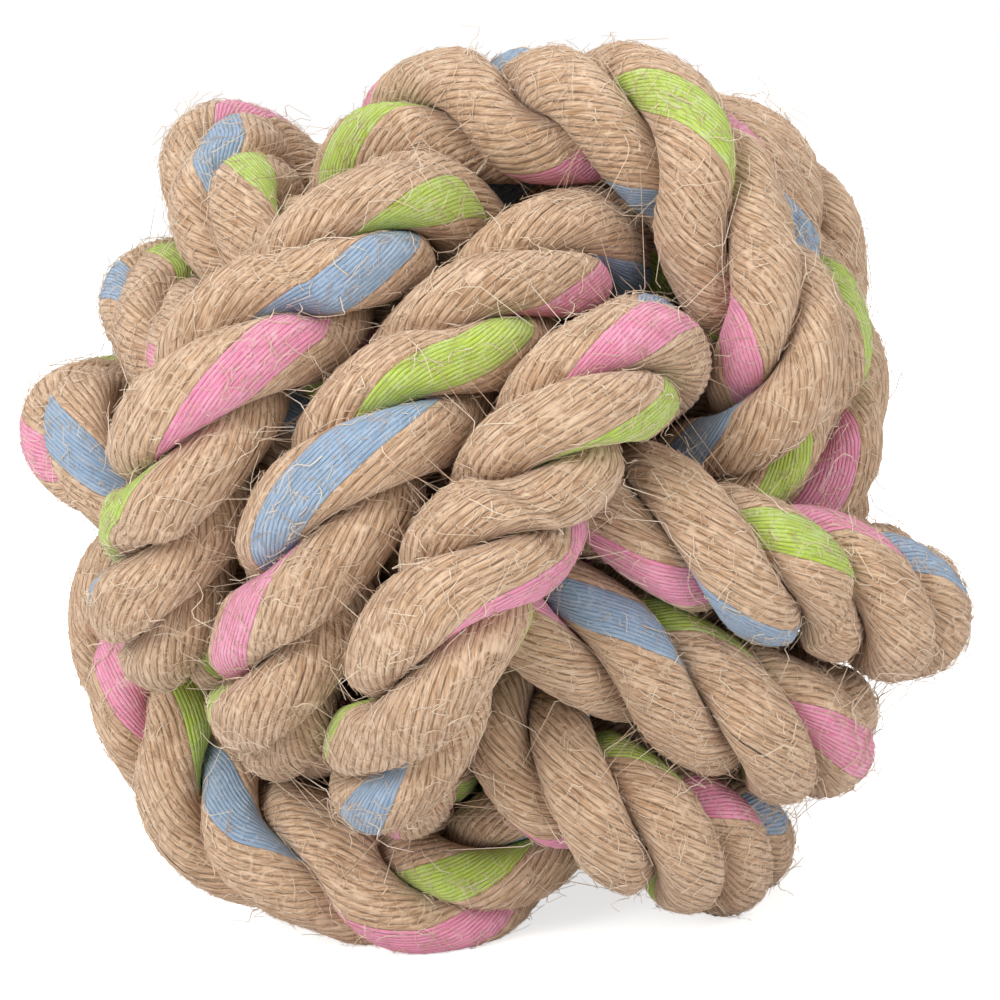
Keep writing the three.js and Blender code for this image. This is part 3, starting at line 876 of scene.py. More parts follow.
def skin_tree():
    """Skins one strand: each column of the skin follows a yarn round the strand's section"""
    tree, entry, leave = geometry_tree(
        "Strand skin",
        [
            ("Section", "NodeSocketObject"),
            ("Rings", "NodeSocketInt"),
            ("Columns", "NodeSocketInt"),
            ("Points per yarn", "NodeSocketInt"),
            ("Yarn groove", "NodeSocketFloat"),
            ("Yarn unevenness", "NodeSocketFloat"),
            ("Soft rise", "NodeSocketFloat"),
            ("First dyed yarn", "NodeSocketInt"),
            ("Dyed yarns", "NodeSocketInt"),
            ("Seed", "NodeSocketInt"),
            ("Hemp", "NodeSocketMaterial"),
            ("Dyed", "NodeSocketMaterial"),
        ],
    )
    given = entry.outputs
    across = calculate(tree, "ADD", given["Columns"], 1)
    grid = new_node(
        tree, "GeometryNodeMeshGrid", {"Vertices X": given["Rings"], "Vertices Y": across}
    )
    index = tree.nodes.new("GeometryNodeInputIndex").outputs[0]
    ring = calculate(tree, "FLOOR", calculate(tree, "DIVIDE", calculate(tree, "ADD", index, 0.5), across))
    column = calculate(tree, "SUBTRACT", index, calculate(tree, "MULTIPLY", ring, across))

    def at_ring(label, kind):
        """A value of the path at the ring of each point"""
        if label == "position":
            source = tree.nodes.new("GeometryNodeInputPosition").outputs[0]
        else:
            source = named_value(tree, label, kind)
        sample = new_node(
            tree,
            "GeometryNodeSampleIndex",
            {"Geometry": given["Geometry"], "Value": source, "Index": ring},
            data_type=kind,
            domain="POINT",
        )
        return sample.outputs["Value"]

    centre = at_ring("position", "FLOAT_VECTOR")
    outward = at_ring("outward", "FLOAT_VECTOR")
    sideways = at_ring("sideways", "FLOAT_VECTOR")
    radius = at_ring("radius", "FLOAT")
    shift = at_ring("yarn_shift", "FLOAT")
    along = at_ring("along", "FLOAT")
    full = at_ring("full", "FLOAT")

    yarn_place = calculate(tree, "DIVIDE", column, given["Points per yarn"])
    yarn = calculate(tree, "FLOOR", yarn_place)
    round_section = calculate(tree, "DIVIDE", column, given["Columns"])
    factor = calculate(tree, "FRACT", calculate(tree, "ADD", round_section, shift))
    section = new_node(tree, "GeometryNodeObjectInfo", {"Object": given["Section"]})
    sample = new_node(
        tree,
        "GeometryNodeSampleCurve",
        {"Curves": section.outputs["Geometry"], "Factor": factor},
        mode="FACTOR",
    )
    place = split(tree, sample.outputs["Position"])
    heading = split(tree, sample.outputs["Tangent"])

    # How far each point stands out: grooves between the yarns, and single yarns higher or lower
    in_yarn = calculate(tree, "FRACT", calculate(tree, "ADD", yarn_place, EDGE_NUDGE))
    in_groove = calculate(tree, "LESS_THAN", in_yarn, EDGE_REACH)
    yarn_number = calculate(tree, "ADD", yarn, calculate(tree, "MULTIPLY", given["Seed"], 100))

    def wave(waves_per_metre, detail):
        """Noise along each yarn, different from yarn to yarn"""
        place = calculate(tree, "MULTIPLY", along, waves_per_metre)
        return noise(tree, join(tree, yarn_number, place), 1.0, detail)

    def is_dyed(place):
        """1 where a place across the yarns lies in the dyed bundle"""
        end = calculate(tree, "ADD", given["First dyed yarn"], given["Dyed yarns"])
        past_first = calculate(tree, "GREATER_THAN", place, given["First dyed yarn"])
        return calculate(tree, "MULTIPLY", past_first, calculate(tree, "LESS_THAN", place, end))

    uneven = calculate(tree, "SUBTRACT", wave(UNEVEN_WAVES, 1.0), 0.5)
    uneven = calculate(tree, "MULTIPLY", uneven, given["Yarn unevenness"])
    uneven = calculate(tree, "MULTIPLY", uneven, UNEVEN_GAIN)
    deepness = map_range(tree, wave(GROOVE_WAVES, 2.0), GROOVE_SPAN, GROOVE_DEPTH_SHARES)
    finer = calculate(tree, "MULTIPLY", is_dyed(yarn_place), DYED_GROOVE_LOSS_SHARE)
    deepness = calculate(tree, "MULTIPLY", deepness, calculate(tree, "SUBTRACT", 1.0, finer))
    groove = calculate(tree, "MULTIPLY", in_groove, given["Yarn groove"])
    groove = calculate(tree, "MULTIPLY", groove, deepness)
    rise = calculate(tree, "SUBTRACT", calculate(tree, "ADD", given["Soft rise"], uneven), groove)
    # Only the back of the strand rises, so that the flanks keep clear of each other
    back = map_range(tree, place[0], BACK_EDGE_SHARES, (0.0, 1.0))
    rise = calculate(tree, "MULTIPLY", rise, back)
    out_share = calculate(tree, "MULTIPLY", heading[1], rise)
    side_share = calculate(tree, "MULTIPLY", calculate(tree, "MULTIPLY", heading[0], -1), rise)

    def scaled(share, less, extra):
        """One coordinate of the section: drawn in to the middle at the two caps"""
        drawn = calculate(tree, "MULTIPLY", calculate(tree, "SUBTRACT", share, less), full)
        drawn = calculate(tree, "ADD", drawn, less)
        drawn = calculate(tree, "MULTIPLY", drawn, radius)
        return calculate(tree, "ADD", drawn, calculate(tree, "MULTIPLY", extra, full))

    out_length = scaled(place[0], STRAND_CENTRE_SHARE, out_share)
    side_length = scaled(place[1], 0.0, side_share)
    out_part = calculate_vector(tree, "SCALE", outward, scale=out_length)
    side_part = calculate_vector(tree, "SCALE", sideways, scale=side_length)
    position = calculate_vector(tree, "ADD", centre, out_part)
    position = calculate_vector(tree, "ADD", position, side_part)

    # Points keep their place across and along the yarns, and corners and faces take it from them
    yarns_vector = join(tree, yarn_place, calculate(tree, "DIVIDE", along, MM))
    placed = keep_value(tree, grid.outputs["Mesh"], "yarn_place", yarns_vector, "FLOAT_VECTOR")
    moved = new_node(
        tree,
        "GeometryNodeSetPosition",
        {"Geometry": placed, "Position": above_floor(tree, position)},
    )
    kept = named_value(tree, "yarn_place", "FLOAT_VECTOR")
    mapped = keep_value(tree, moved.outputs[0], "yarns", kept, "FLOAT2", "CORNER")
    face_dyed = is_dyed(split(tree, kept)[0])
    marked = keep_value(tree, mapped, "dyed", face_dyed, "FLOAT", "FACE")
    closed = new_node(
        tree, "GeometryNodeMergeByDistance", {"Geometry": marked, "Distance": CLOSING_GAP}
    )
    turned = new_node(tree, "GeometryNodeFlipFaces", {"Mesh": closed.outputs[0]})
    colored = new_node(
        tree,
        "GeometryNodeSetMaterial",
        {
            "Geometry": finished(tree, turned.outputs[0], given["Hemp"]),
            "Selection": calculate(tree, "GREATER_THAN", named_value(tree, "dyed", "FLOAT"), 0.5),
            "Material": given["Dyed"],
        },
    )
    tree.links.new(colored.outputs[0], leave.inputs[0])
    return tree


def fibre_group():
    """Shader nodes for spun fibre: streaks along each yarn, pale ones partly painted highlights and dark
    ones painted shade, tones, flecks, and painted shade in the groove between two yarns
    """
    name = "Spun fibre"
    if name in bpy.data.node_groups:
        return bpy.data.node_groups[name]
    tree = bpy.data.node_groups.new(name, "ShaderNodeTree")
    sockets = [
        ("INPUT", "Yarns", "NodeSocketVector"),
        ("INPUT", "Seed", "NodeSocketFloat"),
        ("INPUT", "Fibre", "NodeSocketColor"),
        ("INPUT", "Pale", "NodeSocketColor"),
        ("INPUT", "Dark", "NodeSocketColor"),
        ("INPUT", "Fleck", "NodeSocketColor"),
        ("INPUT", "Fleck share", "NodeSocketFloat"),
        ("INPUT", "Pale share", "NodeSocketFloat"),
        ("INPUT", "Threads per yarn", "NodeSocketFloat"),
        ("OUTPUT", "Color", "NodeSocketColor"),
        ("OUTPUT", "Height", "NodeSocketFloat"),
    ]
    for way, label, kind in sockets:
        tree.interface.new_socket(label, in_out=way, socket_type=kind)
    given = tree.nodes.new("NodeGroupInput").outputs
    leave = tree.nodes.new("NodeGroupOutput").inputs

    yarn_place, along, _ = split(tree, given["Yarns"])
    threads = calculate(tree, "MULTIPLY", yarn_place, given["Threads per yarn"])
    across = calculate(tree, "FRACT", threads)
    thread = calculate(tree, "ADD", calculate(tree, "FLOOR", threads), given["Seed"])
    # 0 at the middle of a yarn, 1 at its edges
    edge = calculate(tree, "ABSOLUTE", calculate(tree, "MULTIPLY_ADD", across, 2, -1))

    def yarn_noise(across_waves, along_waves, detail):
        """Noise that changes from yarn to yarn"""
        return noise(tree, join(tree, across_waves, along_waves, thread), 1.0, detail, rough=0.6)

    def ranged(value, span, low=0.0, high=1.0):
        return map_range(tree, value, span, (low, high))

    def slanted(waves, start=0.0):
        """Places for noise whose fibres run a little across the yarn, because it is spun"""
        return (
            calculate(tree, "MULTIPLY", spun, waves[0]),
            calculate(tree, "MULTIPLY_ADD", along, waves[1], start),
        )

    spun = calculate(
        tree, "MULTIPLY_ADD", along, SPIN_SLANT, calculate(tree, "MULTIPLY", across, SPIN_WIDTH)
    )
    streaks = yarn_noise(*slanted(STREAK_WAVES), 4.0)
    hairs = yarn_noise(*slanted(HAIR_WAVES), 3.0)
    flecks = yarn_noise(*slanted(FLECK_WAVES, FLECK_START), 3.0)
    tone = yarn_noise(0.0, calculate(tree, "MULTIPLY", along, TONE_WAVES), 1.0)
    breaks = yarn_noise(0.0, calculate(tree, "MULTIPLY_ADD", along, BREAK_WAVES, BREAK_START), 2.0)

    # Pale fibres in the raised streaks, where the bump is highest, partly painted highlights
    paleness = ranged(streaks, PALE_STREAK_AND_HIGHLIGHT_SPAN)
    for value, most in ((hairs, HAIR_PALENESS), (tone, TONE_PALENESS)):
        paleness = calculate(tree, "ADD", paleness, ranged(value, WHOLE_SPAN, -most, most))
    paleness = calculate(tree, "MULTIPLY", paleness, given["Pale share"])
    paleness = new_node(tree, "ShaderNodeClamp", {0: paleness}).outputs[0]
    color = mixed(tree, paleness, given["Fibre"], given["Pale"])
    fleck = calculate(tree, "MULTIPLY", ranged(flecks, FLECK_SPAN), given["Fleck share"])
    color = mixed(tree, fleck, color, given["Fleck"])
    # Painted shade in the low streaks of a yarn, where the bump is lowest
    shade = ranged(streaks, STREAK_SHADE_SPAN, STREAK_SHADE_SHARE, 0.0)
    color = mixed(tree, shade, color, given["Dark"])

    # Painted shade in the groove between two yarns: a dark line that comes and goes along them
    unbroken = ranged(breaks, BREAK_SPAN, LEAST_GROOVE_SHADE_SHARE, 1.0)
    groove_shade = calculate(tree, "MULTIPLY", ranged(edge, GROOVE_SHADE_SPAN), unbroken)
    groove_shade = calculate(tree, "MULTIPLY", groove_shade, GROOVE_SHADE_SHARE)
    color = mixed(tree, groove_shade, color, given["Dark"])

    # Hairs that lie across the yarns: thin curved lines where a slow noise passes its middle
    crossing = 0.0
    for shift, waves in CROSSING_HAIRS:
        beside = calculate(tree, "MULTIPLY_ADD", yarn_place, YARN_WIDTH_MM, shift)
        spot = join(tree, beside, along, given["Seed"])
        slow = noise(tree, spot, waves, 1.0)
        mask = noise(tree, spot, waves * CROSSING_MASK_WAVES, 0.0)
        off = calculate(tree, "ABSOLUTE", calculate(tree, "SUBTRACT", slow, 0.5))
        hair = ranged(off, (0.0, CROSSING_HAIR_EDGE), 1.0, 0.0)
        hair = calculate(tree, "MULTIPLY", hair, ranged(mask, CROSSING_MASK_SPAN))
        crossing = calculate(tree, "MAXIMUM", hair, crossing)
    strength = calculate(tree, "MULTIPLY", crossing, CROSSING_HAIR_SHARE)
    color = mixed(tree, strength, color, given["Pale"])
    tree.links.new(color, leave["Color"])
    height = calculate(tree, "SUBTRACT", 1.0, calculate(tree, "MULTIPLY", edge, edge))
    for relief, share in zip((hairs, streaks, crossing), RELIEF_SHARES):
        height = calculate(tree, "ADD", height, calculate(tree, "MULTIPLY", relief, share))
    tree.links.new(height, leave["Height"])
    return tree


def new_material(name, values):
    """A material, its tree and its shader, with these values on the shader's sockets"""
    material = bpy.data.materials.new(name)
    material.use_nodes = True
    shader = material.node_tree.nodes["Principled BSDF"]
    for label, value in values.items():
        shader.inputs[label].default_value = value
    return material, material.node_tree, shader


def fibre_material(name, seed, fibre, pale, dark, fleck, fleck_share, pale_share, threads):
    """A spun fibre finish in these colours"""
    material, tree, shader = new_material(name, FIBRE_SHADER)
    uv = new_node(tree, "ShaderNodeUVMap", uv_map="yarns")
    fibres = new_node(tree, "ShaderNodeGroup", node_tree=fibre_group())
    tree.links.new(uv.outputs["UV"], fibres.inputs["Yarns"])
    values = {
        "Seed": seed,
        "Fibre": (*fibre, 1),
        "Pale": (*pale, 1),
        "Dark": (*dark, 1),
        "Fleck": (*fleck, 1),
        "Fleck share": fleck_share,
        "Pale share": pale_share,
        "Threads per yarn": threads,
    }
    for label, value in values.items():
        fibres.inputs[label].default_value = value
    bump = new_node(
        tree,
        "ShaderNodeBump",
        {
            "Strength": YARN_BUMP_STRENGTH,
            "Distance": YARN_BUMP,
            "Height": fibres.outputs["Height"],
        },
    )
    tree.links.new(fibres.outputs["Color"], shader.inputs["Base Color"])
    tree.links.new(bump.outputs[0], shader.inputs["Normal"])
    return material


def strand_materials(colors, place):
    """The hemp and the dyed finish of a strand"""
    name = STRANDS[place].replace("strand_", "")
    dye = {"pink": colors.pink, "blue": colors.blue, "green": colors.green}[name]
    hemp = fibre_material(
        "hemp_" + name,
        seed=FINISH_SEED_STEP * (place + 1),
        fibre=colors.hemp,
        pale=colors.hemp_pale,
        dark=colors.hemp_painted_shade,
        fleck=colors.hemp_fleck,
        **HEMP_FINISH,
    )
    # Undyed fibres in the dyed bundle, whose pale streaks are also painted highlights
    tint = Vector(dye).lerp(Vector(UNDYED_WHITE), DYE_TINT_SHARE)
    dyed = fibre_material(
        "dyed_" + name,
        seed=FINISH_SEED_STEP * (place + 1) + DYED_SEED,
        fibre=dye,
        pale=tint,
        # The dyed yarns' painted shade: the dye made darker
        dark=Vector(dye) * DYE_SHADE_SHARE,
        fleck=tint,
        **DYED_FINISH,
    )
    return hemp, dyed


def fuzz_tree():
    """Loose fibres that wander over the strands on the outside of the ball"""
    tree, entry, leave = geometry_tree(
        "Loose fibres",
        [
            ("Centre", "NodeSocketVector"),
            ("Buried", "NodeSocketFloat"),
            ("Density", "NodeSocketFloat"),
            ("Shortest", "NodeSocketFloat"),
            ("Longest", "NodeSocketFloat"),
            ("Thickness", "NodeSocketFloat"),
            ("Points", "NodeSocketInt"),
            ("Seed", "NodeSocketInt"),
            ("Fibre", "NodeSocketMaterial"),
        ],
    )
    given = entry.outputs

    def random_value(kind, low, high, salt):
        """A random value for each root, different for each salt"""
        seed = calculate(tree, "ADD", given["Seed"], salt)
        node = new_node(tree, "FunctionNodeRandomValue", data_type=kind)
        number = {"FLOAT_VECTOR": 0, "FLOAT": 1}[kind]
        inputs = [socket for socket in node.inputs if socket.enabled]
        inputs[0].default_value = low
        inputs[1].default_value = high
        tree.links.new(seed, node.inputs["Seed"])
        return node.outputs[number]

    position = tree.nodes.new("GeometryNodeInputPosition").outputs[0]
    normal = tree.nodes.new("GeometryNodeInputNormal").outputs[0]
    outward = calculate_vector(tree, "SUBTRACT", position, given["Centre"])
    distance = calculate_vector(tree, "LENGTH", outward)
    facing = calculate_vector(
        tree, "DOT_PRODUCT", normal, calculate_vector(tree, "NORMALIZE", outward)
    )
    open_to_air = calculate(
        tree,
        "MULTIPLY",
        calculate(tree, "GREATER_THAN", distance, given["Buried"]),
        calculate(tree, "GREATER_THAN", facing, LEAST_FACING_SHARE),
    )
    roots = new_node(
        tree,
        "GeometryNodeDistributePointsOnFaces",
        {
            "Mesh": given["Geometry"],
            "Density": calculate(tree, "MULTIPLY", given["Density"], open_to_air),
            "Seed": given["Seed"],
        },
        distribute_method="RANDOM",
    )
    own_value = random_value("FLOAT", 0.0, 1.0, 1)
    marked = keep_value(tree, roots.outputs["Points"], "fibre", own_value, "FLOAT")

    # A fibre sets out in any direction that doesn't lead into its strand, and most are short
    up = roots.outputs["Normal"]
    stand = random_value("FLOAT", 0.0, MOST_STANDING_SHARE, 2)
    lean = random_value("FLOAT_VECTOR", (-1, -1, -1), (1, 1, 1), 3)
    heading = calculate_vector(
        tree,
        "ADD",
        calculate_vector(tree, "SCALE", up, scale=stand),
        calculate_vector(tree, "NORMALIZE", lean),
    )
    below = calculate_vector(tree, "DOT_PRODUCT", heading, up)
    lift = calculate(tree, "SUBTRACT", calculate(tree, "ABSOLUTE", below), below)
    lift = calculate(tree, "ADD", lift, LEAST_STANDING_SHARE)
    heading = calculate_vector(
        tree, "ADD", heading, calculate_vector(tree, "SCALE", up, scale=lift)
    )
    turned = new_node(tree, "FunctionNodeAlignRotationToVector", {"Vector": heading}, axis="X")
    length_share = calculate(
        tree, "POWER", random_value("FLOAT", 0.0, 1.0, 4), SHORT_FIBRE_POWER
    )
    spread = calculate(tree, "SUBTRACT", given["Longest"], given["Shortest"])
    length = calculate(tree, "MULTIPLY_ADD", length_share, spread, given["Shortest"])
    unit_line = new_node(
        tree, "GeometryNodeCurvePrimitiveLine", {"Start": (0, 0, 0), "End": (1, 0, 0)}
    )
    straight = new_node(
        tree,
        "GeometryNodeResampleCurve",
        {"Curve": unit_line.outputs[0], "Count": given["Points"]},
    )
    placed = new_node(
        tree,
        "GeometryNodeInstanceOnPoints",
        {
            "Points": marked,
            "Instance": straight.outputs[0],
            "Rotation": turned.outputs[0],
            "Scale": join(tree, length, length, length),
        },
    )
    curves = new_node(tree, "GeometryNodeRealizeInstances", {0: placed.outputs[0]})

    # Each fibre wanders more and more towards its tip
    along = tree.nodes.new("GeometryNodeSplineParameter").outputs
    fibre = named_value(tree, "fibre", "FLOAT")
    far = calculate(tree, "MULTIPLY", fibre, FIBRES_APART)
    shifted = calculate_vector(
        tree,
        "ADD",
        calculate_vector(tree, "SCALE", position, scale=WANDER_WAVES),
        join(tree, far, fibre, far),
    )
    wander = noise(tree, shifted, 1.0, 0.0, output="Color")
    wander = calculate_vector(tree, "SUBTRACT", wander, (0.5, 0.5, 0.5))
    reach = calculate(tree, "MULTIPLY", along["Length"], calculate(tree, "SQRT", along["Factor"]))
    reach = calculate(tree, "MULTIPLY", reach, WANDER_SHARE)
    wander = calculate_vector(tree, "SCALE", wander, scale=reach)
    bent = new_node(
        tree, "GeometryNodeSetPosition", {"Geometry": curves.outputs[0], "Offset": wander}
    )

    # Then it is drawn in to the strand and lies on it, a little higher towards its tip
    nearest = new_node(tree, "GeometryNodeProximity", {0: given["Geometry"]}).outputs[0]
    upright = new_node(
        tree,
        "GeometryNodeSampleNearestSurface",
        {0: given["Geometry"], 1: normal},
        data_type="FLOAT_VECTOR",
    ).outputs[0]
    rise = calculate(tree, "MULTIPLY", along["Factor"], fibre)
    rise = calculate(tree, "MULTIPLY", along["Length"], rise)
    rise = calculate(tree, "MULTIPLY_ADD", rise, FIBRE_RISE_SHARE, given["Thickness"])
    lying = calculate_vector(
        tree, "ADD", nearest, calculate_vector(tree, "SCALE", upright, scale=rise)
    )
    stray = calculate(tree, "POWER", fibre, STRAY_POWER)
    stray = calculate(tree, "MULTIPLY", stray, STRAY_SHARE)
    settled = new_node(
        tree, "ShaderNodeMix", {0: stray, 4: lying, 5: position}, data_type="VECTOR"
    ).outputs[1]
    laid = new_node(
        tree, "GeometryNodeSetPosition", {"Geometry": bent.outputs[0], "Position": settled}
    )

    # Some fibres are thicker than others, and each is thinner towards its tip
    thin = calculate(tree, "MULTIPLY_ADD", along["Factor"], -TAPER_SHARE, 1.0)
    own = calculate(tree, "MULTIPLY_ADD", fibre, THICKER_FIBRE_SHARE, THINNEST_FIBRE_SHARE)
    thin = calculate(tree, "MULTIPLY", thin, own)
    thin = calculate(tree, "MULTIPLY", thin, calculate(tree, "MULTIPLY", given["Thickness"], 0.5))
    ring = new_node(
        tree, "GeometryNodeCurvePrimitiveCircle", {"Resolution": FIBRE_SIDES, "Radius": 1.0}
    )
    tubes = new_node(
        tree,
        "GeometryNodeCurveToMesh",
        {
            "Curve": laid.outputs[0],
            "Profile Curve": ring.outputs[0],
            "Scale": thin,
            "Fill Caps": True,
        },
    )
    clear = new_node(
        tree,
        "GeometryNodeSetPosition",
        {"Geometry": tubes.outputs[0], "Position": above_floor(tree, position)},
    )
    tree.links.new(finished(tree, clear.outputs[0], given["Fibre"]), leave.inputs[0])
    return tree


def twine_tree():
    """Winds twine along the points of a path that already goes round the rope"""
    tree, entry, leave = geometry_tree(
        "Wound twine",
        [
            ("Twine radius", "NodeSocketFloat"),
            ("Sides", "NodeSocketInt"),
            ("Steps", "NodeSocketFloat"),
            ("Twine", "NodeSocketMaterial"),
        ],
    )
    given = entry.outputs

    index = tree.nodes.new("GeometryNodeInputIndex").outputs[0]
    angle = calculate(tree, "MULTIPLY", calculate(tree, "DIVIDE", index, given["Steps"]), math.tau)
    cosine = calculate(tree, "COSINE", angle)
    sine = calculate(tree, "SINE", angle)
    normal = named_value(tree, "normal_way", "FLOAT_VECTOR")
    side = named_value(tree, "side_way", "FLOAT_VECTOR")
    around = calculate_vector(
        tree,
        "ADD",
        calculate_vector(tree, "SCALE", normal, scale=cosine),
        calculate_vector(tree, "SCALE", side, scale=sine),
    )
    radius = named_value(tree, "radius", "FLOAT")
    offset = calculate_vector(tree, "SCALE", around, scale=radius)
    wound = new_node(
        tree, "GeometryNodeSetPosition", {"Geometry": given["Geometry"], "Offset": offset}
    )
    points = new_node(tree, "GeometryNodeMeshToPoints", {"Mesh": wound.outputs[0]})
    curve = new_node(tree, "GeometryNodePointsToCurves", {0: points.outputs[0]})
    ring = new_node(
        tree,
        "GeometryNodeCurvePrimitiveCircle",
        {"Resolution": given["Sides"], "Radius": given["Twine radius"]},
    )
    spline = tree.nodes.new("GeometryNodeSplineParameter").outputs
    tube = new_node(
        tree,
        "GeometryNodeCurveToMesh",
        {
            "Curve": keep_value(tree, curve.outputs[0], "along_twine", spline["Length"], "FLOAT"),
            "Profile Curve": keep_value(
                tree, ring.outputs[0], "round_twine", spline["Factor"], "FLOAT"
            ),
            "Fill Caps": True,
        },
    )
    tree.links.new(finished(tree, tube.outputs[0], given["Twine"]), leave.inputs[0])
    return tree


def loose_fibre_material(colors):
    """Single fibres, some paler than others; the pale colour is partly painted light that shines through
    them
    """
    material, tree, shader = new_material("loose_fibre", LOOSE_FIBRE_SHADER)
    fibre = new_node(tree, "ShaderNodeAttribute", attribute_name="fibre").outputs["Fac"]
    color = mixed(tree, fibre, (*colors.hemp, 1), (*colors.loose_fibre, 1))
    tree.links.new(color, shader.inputs["Base Color"])
    return material


def twine_material(colors):
    """Two-ply waxed twine: its plies run round it, with painted shade in the grooves between them"""
    material, tree, shader = new_material("twine", TWINE_SHADER)
    along = new_node(tree, "ShaderNodeAttribute", attribute_name="along_twine").outputs["Fac"]
    around = new_node(tree, "ShaderNodeAttribute", attribute_name="round_twine").outputs["Fac"]
    ply = calculate(tree, "MULTIPLY_ADD", along, 1 / TWINE_LAY, around)
    wave = calculate(tree, "SINE", calculate(tree, "MULTIPLY", ply, math.tau * TWINE_PLIES))
    place = tree.nodes.new("ShaderNodeTexCoord").outputs["Object"]
    grain = noise(tree, place, TWINE_GRAIN_WAVES, 3.0)
    # Painted shade in the grooves between the plies, where the bump is lowest, broken up by grain
    shade = map_range(tree, wave, TWINE_PLY_SHADE_SPAN, (0.0, 1.0))
    grain = calculate(tree, "MULTIPLY_ADD", grain, TWINE_GRAIN_SHARE, TWINE_BASE_SHARE)
    shade = calculate(tree, "MULTIPLY", shade, grain)
    color = mixed(tree, shade, (*colors.hemp_painted_shade, 1), (*colors.twine, 1))
    tree.links.new(color, shader.inputs["Base Color"])
    sockets = {"Strength": TWINE_BUMP_STRENGTH, "Distance": TWINE_BUMP, "Height": wave}
    bump = new_node(tree, "ShaderNodeBump", sockets)
    tree.links.new(bump.outputs[0], shader.inputs["Normal"])
    return material


class ROPEBALL_OT_lay_strands(Operator):
    """Skin the three strands of the knotted rope, yarn by yarn"""

    bl_idname = "ropeball.lay_strands"
    bl_label = "Lay the strands"

    def execute(self, context):
        sizes = context.scene.rope_ball_sizes
        colors = context.scene.rope_ball_colors
        axis = rope_axis(sizes)
        whole = axis.lengths[-1]
        rings = axis.rings(0, whole, round(whole / sizes.ring_step) + 1)
        section = section_object(sizes)
        tree = skin_tree()
        for place, name in enumerate(STRANDS):
            angle = rings.lay - math.tau * place / len(STRANDS)
            cosine, sine = np.cos(angle)[:, None], np.sin(angle)[:, None]
            full = np.ones(len(angle))
            full[[0, -1]] = 0
            path = path_object(
                name + "_path",
                rings.points,
                {
                    "outward": rings.normal * cosine + rings.binormal * sine,
                    "sideways": rings.binormal * cosine - rings.normal * sine,
                    "radius": rings.radius,
                    "yarn_shift": rings.bundles[place] - DYED_MIDDLE_SHARE,
                    "along": rings.lengths,
                    "full": full,
                },
            )
            hemp, dyed = strand_materials(colors, place)
            first_dyed = round(DYED_MIDDLE_SHARE * sizes.yarns - sizes.dyed_yarns / 2)
            piece = run_tree(
                path,
                tree,
                {
                    "Section": section,
                    "Rings": len(rings.points),
                    "Columns": sizes.yarns * POINTS_PER_YARN,
                    "Points per yarn": POINTS_PER_YARN,
                    "Yarn groove": sizes.yarn_groove,
                    "Yarn unevenness": sizes.yarn_unevenness,
                    "Soft rise": sizes.soft_rise,
                    "First dyed yarn": first_dyed,
                    "Dyed yarns": sizes.dyed_yarns,
                    "Seed": sizes.seed + place,
                    "Hemp": hemp,
                    "Dyed": dyed,
                },
                name + "_yarns",
            )
            drop(path)
            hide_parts(name)
            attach(piece, BODY)
        drop(section)
        return {"FINISHED"}


class ROPEBALL_OT_raise_fibres(Operator):
    """Lay loose fibres and short fuzz on the strands on the outside of the ball"""

    bl_idname = "ropeball.raise_fibres"
    bl_label = "Raise the loose fibres"

    def execute(self, context):
        sizes = context.scene.rope_ball_sizes
        colors = context.scene.rope_ball_colors
        axis = rope_axis(sizes)
        tree = fuzz_tree()
        material = loose_fibre_material(colors)
        for place, name in enumerate(STRANDS):
            strand = bpy.data.objects.get(name + "_yarns")
            if strand is None:
                raise RuntimeError(f"{name} has to be laid first")
            for kind, (label, points, length_share, thickness_share) in enumerate(FIBRE_KINDS):
                length = length_share * sizes.fibre_length
                piece = run_tree(
                    strand,
                    tree,
                    {
                        "Centre": axis.centre,
                        "Buried": BURIED_SHARE * axis.rope.pitch,
                        "Density": sizes.loose_fibres / CM2,
                        "Shortest": SHORTEST_FIBRE_SHARE * length,
                        "Longest": length,
                        "Thickness": thickness_share * sizes.fibre_thickness,
                        "Points": points,
                        "Seed": sizes.seed + place + kind * len(STRANDS),
                        "Fibre": material,
                    },
                    name + label,
                )
                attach(piece, BODY)
        return {"FINISHED"}


class ROPEBALL_OT_wind_whippings(Operator):
    """Wind twine round the two ends of the rope"""

    bl_idname = "ropeball.wind_whippings"
    bl_label = "Wind the whippings"

    def execute(self, context):
        sizes = context.scene.rope_ball_sizes
        colors = context.scene.rope_ball_colors
        axis = rope_axis(sizes)
        tree = twine_tree()
        material = twine_material(colors)
        twine = sizes.twine_diameter
        turns = math.floor((sizes.whipping_width - twine) / twine)
        steps = turns * TWINE_STEPS_PER_TURN
        whole = axis.lengths[-1]
        starts = {"whipping_start": 0, "whipping_end": whole - sizes.whipping_width}
        for name, start in starts.items():
            first = start + twine / 2
            rings = axis.rings(first, start + sizes.whipping_width - twine / 2, steps + 1)
            path = path_object(
                name + "_path",
                rings.points,
                {
                    "normal_way": rings.normal,
                    "side_way": rings.binormal,
                    "radius": rings.radius + sizes.whipping_clearance + twine / 2,
                },
            )
            piece = run_tree(
                path,
                tree,
                {
                    "Twine radius": twine / 2,
                    "Sides": TWINE_SIDES,
                    "Steps": float(TWINE_STEPS_PER_TURN),
                    "Twine": material,
                },
                name + "_twine",
            )
            drop(path)
            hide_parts(name)
            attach(piece, BODY)
        return {"FINISHED"}


def seen_directly(tree):
    """1 for what the camera sees, itself or in gloss or glass, and 0 for what only lights things"""
    path = tree.nodes.new("ShaderNodeLightPath").outputs
    seen = calculate(tree, "MAXIMUM", path["Is Camera Ray"], path["Is Glossy Ray"])
    return calculate(tree, "MAXIMUM", seen, path["Is Transmission Ray"])


